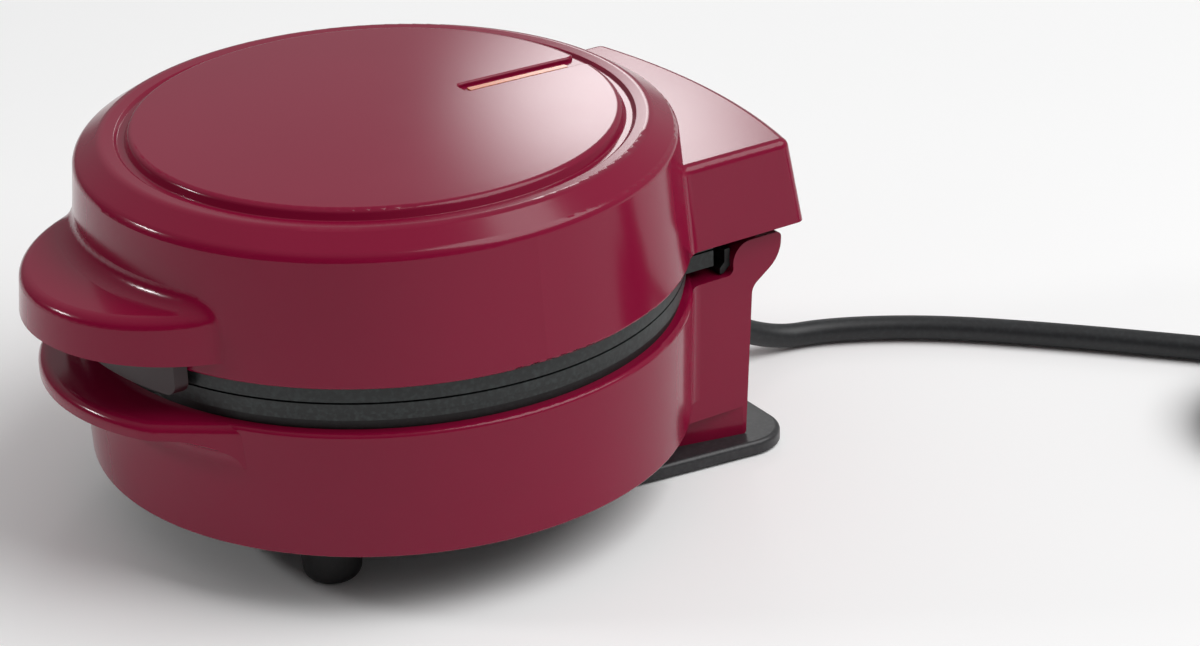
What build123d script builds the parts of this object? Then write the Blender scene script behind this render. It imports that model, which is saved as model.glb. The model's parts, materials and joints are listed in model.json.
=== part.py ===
from build123d import *
import os
from math import asin, atan, atan2, cos, degrees, hypot, pi, radians, sin, sqrt, tan

# Mini waffle maker. Millimetres, +Z up, z = 0 is the table.
# The axis of the round body is Z, the handles point to -Y and the hinge is at +Y.

os.makedirs("parts", exist_ok=True)

# Clearances and small standard sizes
FIT = 0.3
SNUG = 0.05
RUN = 0.05
EDGE = 0.8

# Lid shell
LID_FOOT_R = 78.1
LID_FOOT_Z = 62.6
LID_DRAFT = 2.9
SHOULDER_R = LID_FOOT_R - LID_DRAFT
SHOULDER_Z = 95.0
SHOULDER_FILLET = 3.0
CROWN_W = 6.9
CROWN_R = SHOULDER_R - CROWN_W
CROWN_Z = 99.4
CROWN_FILLET = 3.2
CREST_W = 3.6
RING_R = CROWN_R - CREST_W
RING_Z = 99.1
GROOVE_W = 2.6
BED_Z = 98.3
DISC_SKIRT = 1.1
GROOVE_EDGE = 0.35
DISC_R = RING_R - GROOVE_W - DISC_SKIRT
DISC_EDGE_Z = 101.0
DISC_ROUND = 1.6
DISC_FLAT_R = DISC_R - 3 * DISC_ROUND
DISC_RISE = 0.5
LID_WALL = 2.6

# Slot of the pilot light in the lid
SLOT_W = 5.4
SLOT_START_Y = 25.0
SLOT_DEPTH = 1.1
SLOT_FLOOR_T = 2.3
SLOT_FLARE = 2.8
SLOT_RIM = 0.6
SLOT_PAD_HALF = 7.0
LENS_W = 2.0
LENS_LENGTH = 29.0
LENS_Y = 41.6
LENS_FLANGE = 1.2
LENS_PROUD = 0.3

# Upper handle
HANDLE_R = 42.2
HANDLE_REACH = 17.4
HANDLE_Y = HANDLE_R - LID_FOOT_R - HANDLE_REACH
HANDLE_Z = 66.5
HANDLE_ROOT_TOP = 79.6
HANDLE_TIP_TOP = 77.0
HANDLE_TAPER = 1.0
HANDLE_BLEND = 5.0
HANDLE_FILLET = 3.0
HANDLE_WALL = 2.4
HANDLE_BOSS_X = 18.0
HANDLE_BOSS_IN = 10.6
COVER_T = 2.2
COVER_LIFT = 0.6
GUARD_T = 3.2
GUARD_HALF = 32.5
GUARD_Z = 57.0
GUARD_CORNER = 3.0

# Base shell
FOOT_H = 17.9
BASE_FOOT_R = LID_FOOT_R - 0.8
BASE_R = LID_FOOT_R + 0.1
RIM_Z = 51.0
RIM_EDGE = 1.2
BASE_WALL = 2.6
RIM_LAND = 8.2
RIM_BORE_R = BASE_R - RIM_LAND

# Lip of the base under the handle
LIP_REACH = 12.9
LIP_TIP_Y = -BASE_R - LIP_REACH
LIP_FRONT_R = 56.0
LIP_HALF = 43.0
LIP_ROOT_Y = -LIP_FRONT_R - 10.0
LIP_SIDE_ANGLE = 52.0
LIP_CORNER = 14.0
LIP_T = 4.2
LIP_ROOT_FILLET = 7.0
LIP_EDGE = 2.6

# Hinge post of the base
POST_HALF = 42.0
POST_Z = 4.0
POST_STANDOFF = 4.6
POST_REAR_FOOT = BASE_FOOT_R + POST_STANDOFF
POST_LEAN = 2.4
POST_REAR_TOP = POST_REAR_FOOT + POST_LEAN
POST_DEPTH = 29.9
POST_FRONT_Y = POST_REAR_FOOT - POST_DEPTH
POST_WALL = 2.5
POST_FLARE = 5.0
STEP_Z = 50.6
EAR_TOP_Z = 59.0
EAR_FRONT_FILLET = 5.5
EAR_REAR_FILLET = 1.5
EAR_FOOT_FILLET = 1.8
NECK_Z = 45.6
NECK_FILLET = 4.0
RECESS_H = 8.0
RECESS_DEPTH = 4.6
RECESS_START_Y = POST_FRONT_Y + 3.0
RECESS_END_Y = POST_REAR_FOOT - 0.9

# Hinge
PIVOT_Y = POST_REAR_TOP + 2.2
PIVOT_Z = 54.5
KNUCKLE_BACK = 7.0
KNUCKLE_FRONT = 8.1
KNUCKLE_ROUND = 9.0
KNUCKLE_FOOT_Z = 52.3
EAR_FRONT_Y = PIVOT_Y - KNUCKLE_FRONT
PIN_R = 2.0
PIN_HALF = 38.0
ARM_X = 31.0
ARM_W = 10.0
ARM_R = 4.5
ARM_BACK = 3.2
ARM_SIDE_GAP = 0.4
OPEN_ANGLE = 95.0
STOP_GAP = 0.2
SHIELD_T = 1.6
SHIELD_TOP_Z = 57.6
SHIELD_INSET = 1.6

# Rear block of the lid
BLOCK_Z = 61.8
BLOCK_TOP = 84.7
BLOCK_HALF_TOP = 44.0
BLOCK_HALF_FOOT = 45.6
BLOCK_REAR_TOP = PIVOT_Y + 8.3
BLOCK_REAR_FOOT = PIVOT_Y + 12.0
BLOCK_BULGE = 5.4
BLOCK_FRONT = 40.0
BLOCK_CORNER = 3.0
BLOCK_FILLET = 2.4
BLOCK_FLARE = 4.5
FLARE_SINK = 0.15
BLOCK_WALL = 2.6

# Waffle plates
SPLIT_Z = 58.3
SPLIT_GAP = 0.5
PLATE_INSET = 1.8
PLATE_R = LID_FOOT_R - PLATE_INSET
PLATE_STEP = 0.4
PLATE_STEP_H = 1.9
LOWER_FLANGE_Z = 53.7
DISH_RIM_W = 15.8
DISH_R = PLATE_R - DISH_RIM_W
DISH_DEPTH = 8.0
DISH_TAPER = 2.0
PLATE_T = 2.6
PEG_PITCH = 14.0
PEG_FOOT = 9.0
PEG_TOP = 6.4
PEG_H = 5.0
PEG_FIELD_R = DISH_R - 7.5
GUTTER_R = PLATE_R - 5.3
GUTTER_W = 3.0
GUTTER_DEPTH = 1.2
TAB_HALF = 40.0
TAB_REAR_Y = EAR_FRONT_Y - 4.8
BOSS_RING_R = 28.0
BOSS_R = 4.0

# Frames that carry the plates
FRAME_T = 2.4
FRAME_CLEAR = 0.8
FRAME_BORE_R = DISH_R + PLATE_T + FRAME_CLEAR
LOWER_FRAME_R = PLATE_R - 1.3
PLATE_SCREW_RING = FRAME_BORE_R + 2.9
SHELL_SCREW_RING = RIM_BORE_R + 1.6

# Heaters and what goes with them
TUBE_R = 3.3
HEATER_RING_R = 42.0
HEATER_SPAN = 320.0
TERMINAL_R = 1.3
TERMINAL_L = 9.0
REFLECTOR_T = 0.8
REFLECTOR_R = DISH_R - 3.5
THERMOSTAT_R = 8.0
THERMOSTAT_H = 9.0
THERMOSTAT_FLANGE = 17.0
EAR_T = 1.0
RIVET_R = 1.0
RIVET_HEAD_R = 1.8
RIVET_HEAD_H = 0.8
RIVET_IN = 3.0
FUSE_R = 2.0
FUSE_LENGTH = 24.0
FUSE_WIRE_R = 0.6
FUSE_WIRE_L = 8.0
FUSE_Y = -14.0
CLIP_T = 0.8
CLIP_HALF = 4.0
CLIP_FOOT_W = 5.0

# Fasteners
SCREW_R = 1.5
SCREW_HEAD_R = 2.8
SCREW_HEAD_H = 1.6
SCREW_BITE = 3.0

# Feet and bottom
COVER_PLATE_T = 2.5
FRONT_FOOT_X = 37.8
FRONT_FOOT_Y = -39.8
FRONT_FOOT_R = 8.0
FRONT_FOOT_TIP_R = 7.2
FRONT_FOOT_ROUND = 3.5
FOOT_STEM_R = 2.4
FOOT_BARB_R = 3.2
FLANGE_LIFT = 0.6
FLANGE_FRONT_HALF = POST_HALF + 2.0
FLANGE_REAR_HALF = POST_HALF + 7.5
FLANGE_FRONT_Y = POST_FRONT_Y - 6.0
FLANGE_REAR_Y = POST_REAR_FOOT + 11.9
FLANGE_CORNER = 11.0
FLANGE_EDGE = 1.3
PAD_R = 5.0
PAD_SINK = 1.0
PAD_X = POST_HALF - 4.0
PAD_Y = POST_REAR_FOOT + 0.1

# Leads between base and lid
LEAD_R = 2.4
LEAD_BEND = 4.0
LEAD_END = 3.0

# Mains lead
CORD_R = 3.4
CORD_EXIT_Z = 14.5
CORD_REST_Z = CORD_R + 0.1
CORD_START_Y = POST_REAR_FOOT - 9.9
BUSH_R = 6.0
BUSH_FLANGE_R = 7.6
BUSH_FLANGE_T = 1.8
BUSH_TAIL = 8.0
BUSH_TAIL_R = 4.8
CLAMP_T = 2.5
CLAMP_W = 5.0
CLAMP_HALF = 12.0
CLAMP_Y = POST_REAR_FOOT - 7.3
CLAMP_SCREW_X = 8.0
CLAMP_SHELF_T = 5.0

# Route of the free stretch, from inside the post over the table to the coil
CORD_ROUTE = [
    (0.0, CORD_START_Y, CORD_EXIT_Z),
    (0.0, 102.0, CORD_EXIT_Z),
    (-1.0, 121.5, CORD_REST_Z),
    (3.5, 138.5, CORD_REST_Z),
    (19.0, 162.5, CORD_REST_Z),
    (45.0, 188.0, CORD_REST_Z),
    (76.0, 215.2, CORD_REST_Z),
    (101.0, 236.5, CORD_REST_Z),
]

# Put-away coil at the end of the free stretch
COIL_OUTER_R = 35.0
COIL_TURNS = 1.75
COIL_GAP = 1.6
PLUG_RUN = 7.0
PLUG_PITCH = 8.0

# Plug
PLUG_R = 18.5
PLUG_FACE_L = 16.0
PLUG_GRIP_R = 11.0
PLUG_GRIP_L = 24.0
PLUG_SLEEVE_R = 5.4
PLUG_SLEEVE_L = 18.0
PLUG_PIN_R = 2.4
PLUG_PIN_L = 19.0
PLUG_PIN_SPACING = 19.0

# Sizes worked out from the ones above
UPPER_FACE_Z = SPLIT_Z + SPLIT_GAP / 2
LOWER_FACE_Z = SPLIT_Z - SPLIT_GAP / 2
UPPER_FLOOR_Z = UPPER_FACE_Z + DISH_DEPTH
LOWER_FLOOR_Z = LOWER_FACE_Z - DISH_DEPTH
UPPER_BACK_Z = UPPER_FLOOR_Z + PLATE_T
LOWER_BACK_Z = LOWER_FLOOR_Z - PLATE_T
HEATER_STACK = 2 * TUBE_R + 2 * SNUG
UPPER_REFLECTOR_Z = UPPER_BACK_Z + HEATER_STACK
LOWER_REFLECTOR_Z = LOWER_BACK_Z - HEATER_STACK - REFLECTOR_T
LID_FRAME_TOP = LID_FOOT_Z + FRAME_T
COVER_PLATE_TOP = FOOT_H + COVER_PLATE_T
DISC_SLOPE = 2 * atan(DISC_RISE / DISC_FLAT_R)
DISC_FLAT_Z = DISC_EDGE_Z + (DISC_R - DISC_FLAT_R) * tan(DISC_SLOPE)
DISC_Z = DISC_FLAT_Z + DISC_RISE
LEAD_Y = POST_REAR_FOOT - POST_WALL - LEAD_R - FIT
FRAME_Y = -(HANDLE_Y - HANDLE_R + BLOCK_REAR_FOOT + BLOCK_BULGE) / 2
PILOT_R = SCREW_R + SNUG


def box(x0, x1, y0, y1, z0, z1):
    """Box between two corners."""
    middle = Pos((x0 + x1) / 2, (y0 + y1) / 2, (z0 + z1) / 2)
    return middle * Box(x1 - x0, y1 - y0, z1 - z0)


def rod(x, y, z0, z1, radius):
    """Upright cylinder."""
    return Pos(x, y, (z0 + z1) / 2) * Cylinder(radius, z1 - z0)


def cross_rod(x0, x1, y, z, radius):
    """Cylinder along X."""
    return Pos((x0 + x1) / 2, y, z) * Rot(0, 90, 0) * Cylinder(radius, x1 - x0)


def ring(r0, r1, z0, z1):
    """Flat ring about Z."""
    return rod(0, 0, z0, z1, r1) - rod(0, 0, z0 - 1, z1 + 1, r0)


def turned(*edges):
    """Solid turned about Z from a closed outline of radius and height."""
    return revolve(Plane.XZ * make_face(edges), Axis.Z)


def turned_points(points):
    """Solid turned about Z from the corners of its outline."""
    return turned(*Polyline(*points, close=True).edges())


def extruded_x(half, *edges):
    """Solid with an outline of Y and Z, extruded to both sides of X = 0."""
    return extrude(Plane.YZ * make_face(edges), amount=half, both=True)


def around(radius, angles, z=0.0):
    """Places on a circle about Z, at angles in degrees."""
    return [(radius * cos(radians(a)), radius * sin(radians(a)), z) for a in angles]


def export(node, shape):
    """Write one sub-part, moved so that the object is centred over the origin."""
    solids = [Solid(s.wrapped) for s in (Pos(0, FRAME_Y, 0) * shape).solids()]
    body = solids[0] if len(solids) == 1 else Compound(children=solids)
    export_step(body, f"parts/{node}.step")
    volume = sum(s.volume for s in solids)
    print(f"{node}: {len(solids)} solid(s), {volume:.1f} mm3, valid {all(s.is_valid for s in solids)}")
    return body


def pan_screw(x, y, head_z, up, length=SCREW_BITE + FRAME_T):
    """Screw whose head sits at head_z and whose shank goes up (+1) or down (-1)."""
    low_shank = min(head_z, head_z + up * length)
    high_shank = max(head_z, head_z + up * length)
    low_head = min(head_z, head_z - up * SCREW_HEAD_H)
    high_head = max(head_z, head_z - up * SCREW_HEAD_H)
    shank = rod(x, y, low_shank, high_shank, SCREW_R)
    return shank + rod(x, y, low_head, high_head, SCREW_HEAD_R)


# Lid shell

def dome_arc():
    """Top line of the disc, from the end of its flat edge to the middle."""
    return TangentArc((DISC_FLAT_R, DISC_FLAT_Z), (0, DISC_Z),
                      tangent=(-cos(DISC_SLOPE), sin(DISC_SLOPE)))


def under_dome(drop):
    """Everything in the lid that lies further than drop below the top of the disc."""
    solid = turned(
        Line((0, LID_FOOT_Z), (DISC_R, LID_FOOT_Z)),
        Line((DISC_R, LID_FOOT_Z), (DISC_R, DISC_EDGE_Z)),
        Line((DISC_R, DISC_EDGE_Z), (DISC_FLAT_R, DISC_FLAT_Z)),
        dome_arc(), Line((0, DISC_Z), (0, LID_FOOT_Z)))
    return Pos(0, 0, -drop) * solid


def lid_outer():
    """Outside of the round lid: crown, ring groove and raised disc."""
    skirt_foot = RING_R - GROOVE_W
    wall = FilletPolyline(
        (0, LID_FOOT_Z), (LID_FOOT_R, LID_FOOT_Z), (SHOULDER_R, SHOULDER_Z),
        (CROWN_R, CROWN_Z), (RING_R, RING_Z), (RING_R - RING_Z + BED_Z, BED_Z),
        (skirt_foot, BED_Z), (DISC_R, DISC_EDGE_Z), (DISC_FLAT_R, DISC_FLAT_Z),
        radius=[EDGE, SHOULDER_FILLET, CROWN_FILLET, GROOVE_EDGE, GROOVE_EDGE, GROOVE_EDGE,
                DISC_ROUND],
    )
    return turned(*wall.edges(), dome_arc(), Line((0, DISC_Z), (0, LID_FOOT_Z)))


def lid_inner():
    """Hollow of the round lid, with a pad left under the slot of the pilot light."""
    under_bed = BED_Z - LID_WALL
    hollow = turned_points([
        (0, LID_FOOT_Z - 1), (LID_FOOT_R - LID_WALL, LID_FOOT_Z - 1),
        (SHOULDER_R - LID_WALL, SHOULDER_Z - LID_WALL),
        (CROWN_R - LID_WALL / 2, CROWN_Z - LID_WALL - FIT),
        (RING_R, under_bed), (DISC_R - LID_WALL / 2, under_bed),
        (DISC_R - LID_WALL, DISC_EDGE_Z - LID_WALL), (0, DISC_Z - LID_WALL - FIT),
    ])
    pad = box(-SLOT_PAD_HALF, SLOT_PAD_HALF, SLOT_START_Y - SLOT_PAD_HALF, DISC_R - LID_WALL / 2,
              under_bed, DISC_Z)
    return hollow - (pad - under_dome(SLOT_DEPTH + SLOT_FLOOR_T))


def lid_wall_r(z):
    """Radius of the outside of the lid's wall at one level."""
    share = (z - LID_FOOT_Z) / (SHOULDER_Z - LID_FOOT_Z)
    return LID_FOOT_R + (SHOULDER_R - LID_FOOT_R) * share


def block_face(half, rear, inset, z):
    """Outline of the rear block at one level, its rear edge a shallow arc."""
    side = half - inset
    back = rear - inset
    outline = [
        Line((-side, BLOCK_FRONT), (side, BLOCK_FRONT)),
        Line((side, BLOCK_FRONT), (side, back)),
        ThreePointArc((side, back), (0, back + BLOCK_BULGE), (-side, back)),
        Line((-side, back), (-side, BLOCK_FRONT)),
    ]
    return Pos(0, 0, z) * make_face(outline)


def flared_face(half, wall_r, flare, rear, bulge, front, z):
    """Plan outline at z: sides at +-half that flare into a round wall, rear edge bulged."""
    centre_x = half + flare
    centre_y = sqrt((wall_r + flare) ** 2 - centre_x ** 2)
    foot_x = centre_x * wall_r / (wall_r + flare)
    foot_y = centre_y * wall_r / (wall_r + flare)
    angle = (pi + atan2(centre_y, centre_x) + pi) / 2
    mid_x = centre_x + flare * cos(angle)
    mid_y = centre_y + flare * sin(angle)
    outline = [
        Line((-foot_x, front), (foot_x, front)),
        Line((foot_x, front), (foot_x, foot_y)),
        ThreePointArc((foot_x, foot_y), (mid_x, mid_y), (half, centre_y)),
        Line((half, centre_y), (half, rear)),
        Line((-half, rear), (-half, centre_y)),
        ThreePointArc((-half, centre_y), (-mid_x, mid_y), (-foot_x, foot_y)),
        Line((-foot_x, foot_y), (-foot_x, front)),
    ]
    if bulge:
        outline.append(ThreePointArc((half, rear), (0, rear + bulge), (-half, rear)))
    else:
        outline.append(Line((half, rear), (-half, rear)))
    return Pos(0, 0, z) * make_face(outline)


def block_outer():
    """Outside of the rear block, wider and longer at its foot."""
    body = loft([
        flared_face(BLOCK_HALF_FOOT, lid_wall_r(BLOCK_Z) - FLARE_SINK, BLOCK_FLARE,
                    BLOCK_REAR_FOOT, BLOCK_BULGE, BLOCK_FRONT, BLOCK_Z),
        flared_face(BLOCK_HALF_TOP, lid_wall_r(BLOCK_TOP) - FLARE_SINK, BLOCK_FLARE,
                    BLOCK_REAR_TOP, BLOCK_BULGE, BLOCK_FRONT, BLOCK_TOP),
    ], ruled=True)
    corners = [e for e in body.edges() if e.center().Y > BLOCK_REAR_TOP - 1
               and BLOCK_Z + 1 < e.center().Z < BLOCK_TOP - 1]
    body = fillet(corners, BLOCK_CORNER)
    top = [e for e in body.edges() if e.center().Z > BLOCK_TOP - 0.1
           and e.center().Y > BLOCK_FRONT + 1 and e.length > 0.5]
    return fillet(top, BLOCK_FILLET)


def block_inner():
    """Hollow of the rear block."""
    top = BLOCK_TOP - BLOCK_WALL
    return loft([
        block_face(BLOCK_HALF_FOOT, BLOCK_REAR_FOOT, BLOCK_WALL, BLOCK_Z - 1),
        block_face(BLOCK_HALF_TOP, BLOCK_REAR_TOP, BLOCK_WALL - 0.4, top),
    ], ruled=True)


def handle_lobe(inset, foot, drop):
    """Round lobe of the upper handle with its sloping top, taken in and lowered."""
    side = extruded_x(
        HANDLE_R + 5,
        *Polyline((HANDLE_Y, foot), (HANDLE_Y, HANDLE_ROOT_TOP - drop),
                  (HANDLE_Y - HANDLE_R, HANDLE_TIP_TOP - drop),
                  (HANDLE_Y - HANDLE_R, foot), close=True).edges())
    height = HANDLE_ROOT_TOP + 5 - HANDLE_Z
    spread = HANDLE_TAPER * height / (HANDLE_TIP_TOP - HANDLE_Z)
    cone = Cone(HANDLE_R - inset, HANDLE_R - inset - spread, height)
    lobe = Pos(0, HANDLE_Y, HANDLE_Z + height / 2) * cone
    if foot < HANDLE_Z:
        lobe += rod(0, HANDLE_Y, foot, HANDLE_Z, HANDLE_R - inset)
    return side & lobe


def handle_outer():
    """Outside of the upper handle, rounded round its top."""
    lobe = handle_lobe(0, HANDLE_Z, 0)
    rim = [e for e in lobe.edges() if e.center().Z > HANDLE_TIP_TOP - EDGE
           and e.center().Y < HANDLE_Y - EDGE]
    return fillet(rim, HANDLE_FILLET)


HANDLE_BOSSES = [(-HANDLE_BOSS_X, HANDLE_Y - HANDLE_R + HANDLE_BOSS_IN),
                 (HANDLE_BOSS_X, HANDLE_Y - HANDLE_R + HANDLE_BOSS_IN)]
LID_BOSSES = around(SHELL_SCREW_RING, [0, 180, 250, 290])


def slot_cut():
    """Slot for the pilot light, its mouth flared where it opens into the ring groove."""
    half = SLOT_W / 2
    turn = DISC_R - SLOT_FLARE
    wide = half + SLOT_FLARE
    mid_x = wide - SLOT_FLARE * cos(pi / 4)
    mid_y = turn + SLOT_FLARE * sin(pi / 4)
    end = RING_R - GROOVE_W / 2
    plan = make_face([
        Line((-half, SLOT_START_Y), (half, SLOT_START_Y)),
        Line((half, SLOT_START_Y), (half, turn)),
        ThreePointArc((half, turn), (mid_x, mid_y), (wide, DISC_R)),
        Line((wide, DISC_R), (wide, end)), Line((wide, end), (-wide, end)),
        Line((-wide, end), (-wide, DISC_R)),
        ThreePointArc((-wide, DISC_R), (-mid_x, mid_y), (-half, turn)),
        Line((-half, turn), (-half, SLOT_START_Y))])
    body = extrude(Pos(0, 0, BED_Z) * plan, amount=DISC_Z + 2 - BED_Z)
    front = [e for e in body.edges().filter_by(Axis.Z) if e.center().Y < LENS_Y]
    return fillet(front, SLOT_W / 4) - under_dome(SLOT_DEPTH)


def lens_place(width, length, z0, z1):
    """Block on the centre line of the pilot light's slot."""
    return box(-width / 2, width / 2, LENS_Y - length / 2, LENS_Y + length / 2, z0, z1)


def lid_shell():
    """Round lid, rear block and upper handle as one moulding."""
    skin = lid_outer() + block_outer()
    skin += handle_outer()
    root = [e for e in skin.edges()
            if abs(hypot(e.center().X, e.center().Y) - SHOULDER_R) < LID_DRAFT + 1
            and e.center().Y < HANDLE_Y and HANDLE_Z + 1 < e.center().Z < SHOULDER_Z - 5]
    skin = fillet(root, HANDLE_BLEND)
    skin -= lid_inner() + block_inner()
    skin -= handle_lobe(HANDLE_WALL, HANDLE_Z - 1, HANDLE_WALL) - lid_outer()
    skin -= slot_cut()
    rim = [e for e in skin.edges() if abs(e.center().X) < SLOT_W / 2 + EDGE
           and SLOT_START_Y - EDGE < e.center().Y < DISC_R - GROOVE_EDGE
           and e.center().Z > DISC_EDGE_Z - GROOVE_EDGE and abs((e @ 0).Z - (e @ 1).Z) < EDGE]
    skin = fillet(rim, SLOT_RIM)
    skin -= lens_place(LENS_W + 2 * SNUG, LENS_LENGTH + 2 * SNUG, LID_FRAME_TOP, DISC_Z)
    for x, y in HANDLE_BOSSES:
        boss = rod(x, y, HANDLE_Z + COVER_LIFT + COVER_T, HANDLE_TIP_TOP - 1, SCREW_HEAD_R)
        skin += boss & handle_lobe(1, HANDLE_Z, 1)
        skin -= rod(x, y, HANDLE_Z, HANDLE_TIP_TOP - HANDLE_WALL - 0.8, PILOT_R)
    for x, y, z in LID_BOSSES:
        boss = rod(x, y, LID_FRAME_TOP, SHOULDER_Z - LID_WALL - 2, SCREW_HEAD_R)
        skin += boss & rod(0, 0, LID_FOOT_Z, SHOULDER_Z, SHOULDER_R - EDGE)
        skin -= rod(x, y, LID_FRAME_TOP - 1, LID_FRAME_TOP + SCREW_BITE + SCREW_HEAD_H, PILOT_R)
    return skin - rod(0, 0, BLOCK_Z - 1, LID_FOOT_Z, PLATE_R + FIT)


def handle_cover():
    """Cover that closes the handle from below, with the guard in front of the plates."""
    low = HANDLE_Z + COVER_LIFT
    clear_r = LID_FOOT_R + FIT
    plate = rod(0, HANDLE_Y, low, low + COVER_T, HANDLE_R - HANDLE_TAPER - HANDLE_WALL - FIT)
    plate -= rod(0, 0, low - 1, low + COVER_T + 1, clear_r)
    plate &= box(-HANDLE_R, HANDLE_R, HANDLE_Y - HANDLE_R, HANDLE_Y, low, low + COVER_T)
    guard = ring(clear_r, clear_r + GUARD_T, GUARD_Z, low + 0.5)
    window = box(-GUARD_HALF, GUARD_HALF, -2 * LID_FOOT_R, -LID_FOOT_R / 2, GUARD_Z, low + 0.5)
    window = fillet(window.edges().filter_by(Axis.Y).group_by(Axis.Z)[0], GUARD_CORNER)
    body = plate + (guard & window)
    for x, y in HANDLE_BOSSES:
        body -= rod(x, y, low - 1, low + COVER_T + 1, PILOT_R)
    return body


def handle_screws():
    """Two screws that hold the handle's cover."""
    low = HANDLE_Z + COVER_LIFT
    return Compound(children=[pan_screw(x, y, low, 1) for x, y in HANDLE_BOSSES])


def lens_strip():
    """Clear strip in the floor of the slot, held from below by its flange."""
    seat = SLOT_DEPTH + SLOT_FLOOR_T
    strip = lens_place(LENS_W, LENS_LENGTH, LID_FRAME_TOP, DISC_Z)
    strip = (strip & under_dome(SLOT_DEPTH - LENS_PROUD)) - under_dome(seat)
    flange = lens_place(LENS_W + 2 * LENS_FLANGE, LENS_LENGTH + 2 * LENS_FLANGE,
                        LID_FRAME_TOP, DISC_Z)
    flange = (flange & under_dome(seat)) - under_dome(seat + LENS_FLANGE)
    return strip + flange


LAMP_R = 3.0
LAMP_LENGTH = 22.0
HOLDER_HALF = 6.0
HOLDER_WALL = 1.2
LAMP_Z = DISC_EDGE_Z - SLOT_DEPTH - SLOT_FLOOR_T - LENS_FLANGE - LAMP_R - FIT


def pilot_lamp():
    """Neon lamp that lies along the slot."""
    glass = Pos(0, LENS_Y, LAMP_Z) * Rot(90, 0, 0) * Cylinder(LAMP_R, LAMP_LENGTH)
    return fillet(glass.edges(), LAMP_R * 0.4)


def lamp_holder():
    """Trough under the lamp whose walls meet the roof of the lid."""
    half = LAMP_LENGTH / 2 + HOLDER_WALL + FIT
    low = LAMP_Z - LAMP_R - HOLDER_WALL
    trough = box(-HOLDER_HALF, HOLDER_HALF, LENS_Y - half, LENS_Y + half, low, DISC_Z)
    inner = box(-HOLDER_HALF + HOLDER_WALL, HOLDER_HALF - HOLDER_WALL,
                LENS_Y - half + HOLDER_WALL, LENS_Y + half - HOLDER_WALL,
                low + HOLDER_WALL, DISC_Z)
    slots = lens_place(LENS_W + 2 * LENS_FLANGE + 2 * FIT, LENS_LENGTH + 2 * LENS_FLANGE + 2 * FIT,
                       LAMP_Z, DISC_Z)
    return (trough - inner - slots) & lid_inner()


LID_FRAME_SCREWS = LID_BOSSES
UPPER_PLATE_SCREWS = around(PLATE_SCREW_RING, [40, 140, 220, 320])


def hinge_arm(x):
    """One hinge arm of the lid frame."""
    disc = cross_rod(x - ARM_W / 2, x + ARM_W / 2, PIVOT_Y, PIVOT_Z, ARM_R)
    bar = box(x - ARM_W / 2, x + ARM_W / 2, PIVOT_Y - ARM_R, PIVOT_Y + ARM_BACK,
              PIVOT_Z, LID_FOOT_Z + 0.5)
    return disc + bar


def lid_frame():
    """Ring that carries the upper plate, with the floor of the rear block and the hinge arms."""
    wall_r = lid_wall_r(LID_FRAME_TOP) - LID_WALL - FIT
    body = ring(FRAME_BORE_R, wall_r, LID_FOOT_Z, LID_FRAME_TOP)
    floor = loft([
        block_face(BLOCK_HALF_FOOT, BLOCK_REAR_FOOT, BLOCK_WALL + FIT + 0.6, LID_FOOT_Z),
        block_face(BLOCK_HALF_FOOT, BLOCK_REAR_FOOT, BLOCK_WALL + FIT + 0.6, LID_FRAME_TOP),
    ], ruled=True)
    floor -= rod(0, 0, LID_FOOT_Z - 1, LID_FRAME_TOP + 1, FRAME_BORE_R)
    body += floor
    for x in (-ARM_X, ARM_X):
        body += hinge_arm(x)
    body -= cross_rod(-PIN_HALF, PIN_HALF, PIVOT_Y, PIVOT_Z, PIN_R + RUN)
    body -= rod(0, PIVOT_Y, LID_FOOT_Z - 1, LID_FRAME_TOP + 1, LEAD_R + SNUG)
    for x, y, z in LID_FRAME_SCREWS:
        body -= rod(x, y, LID_FOOT_Z - 1, LID_FRAME_TOP + 1, PILOT_R)
        body -= rod(x, y, LID_FOOT_Z - 1, LID_FOOT_Z + SCREW_HEAD_H, SCREW_HEAD_R + SNUG)
    for x, y, z in UPPER_PLATE_SCREWS:
        body -= rod(x, y, LID_FOOT_Z - 1, LID_FRAME_TOP + 1, PILOT_R)
    return body


def lid_frame_screws():
    """Screws from the frame up into the bosses of the lid, heads sunk flush."""
    head_z = LID_FOOT_Z + SCREW_HEAD_H
    return Compound(children=[pan_screw(x, y, head_z, 1) for x, y, z in LID_FRAME_SCREWS])


def upper_plate_screws():
    """Screws from the frame down into the flange of the upper plate."""
    return Compound(children=[pan_screw(x, y, LID_FRAME_TOP, -1)
                              for x, y, z in UPPER_PLATE_SCREWS])


# Waffle plates

def pegs():
    """Square pegs on a grid, inside the dish, standing up from z = 0."""
    count = int(PEG_FIELD_R // PEG_PITCH)
    foot = make_face(Polyline(*[(PEG_FOOT / 2 * a, PEG_FOOT / 2 * b)
                                for a, b in ((1, 1), (-1, 1), (-1, -1), (1, -1))], close=True))
    taper = degrees(atan((PEG_FOOT - PEG_TOP) / 2 / PEG_H))
    peg = extrude(foot, amount=PEG_H, taper=taper)
    places = []
    for i in range(-count, count + 1):
        for j in range(-count, count + 1):
            if hypot(i, j) * PEG_PITCH + PEG_FOOT / 2 < PEG_FIELD_R:
                places.append(Pos(i * PEG_PITCH, j * PEG_PITCH, 0))
    return [place * peg for place in places]


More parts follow.
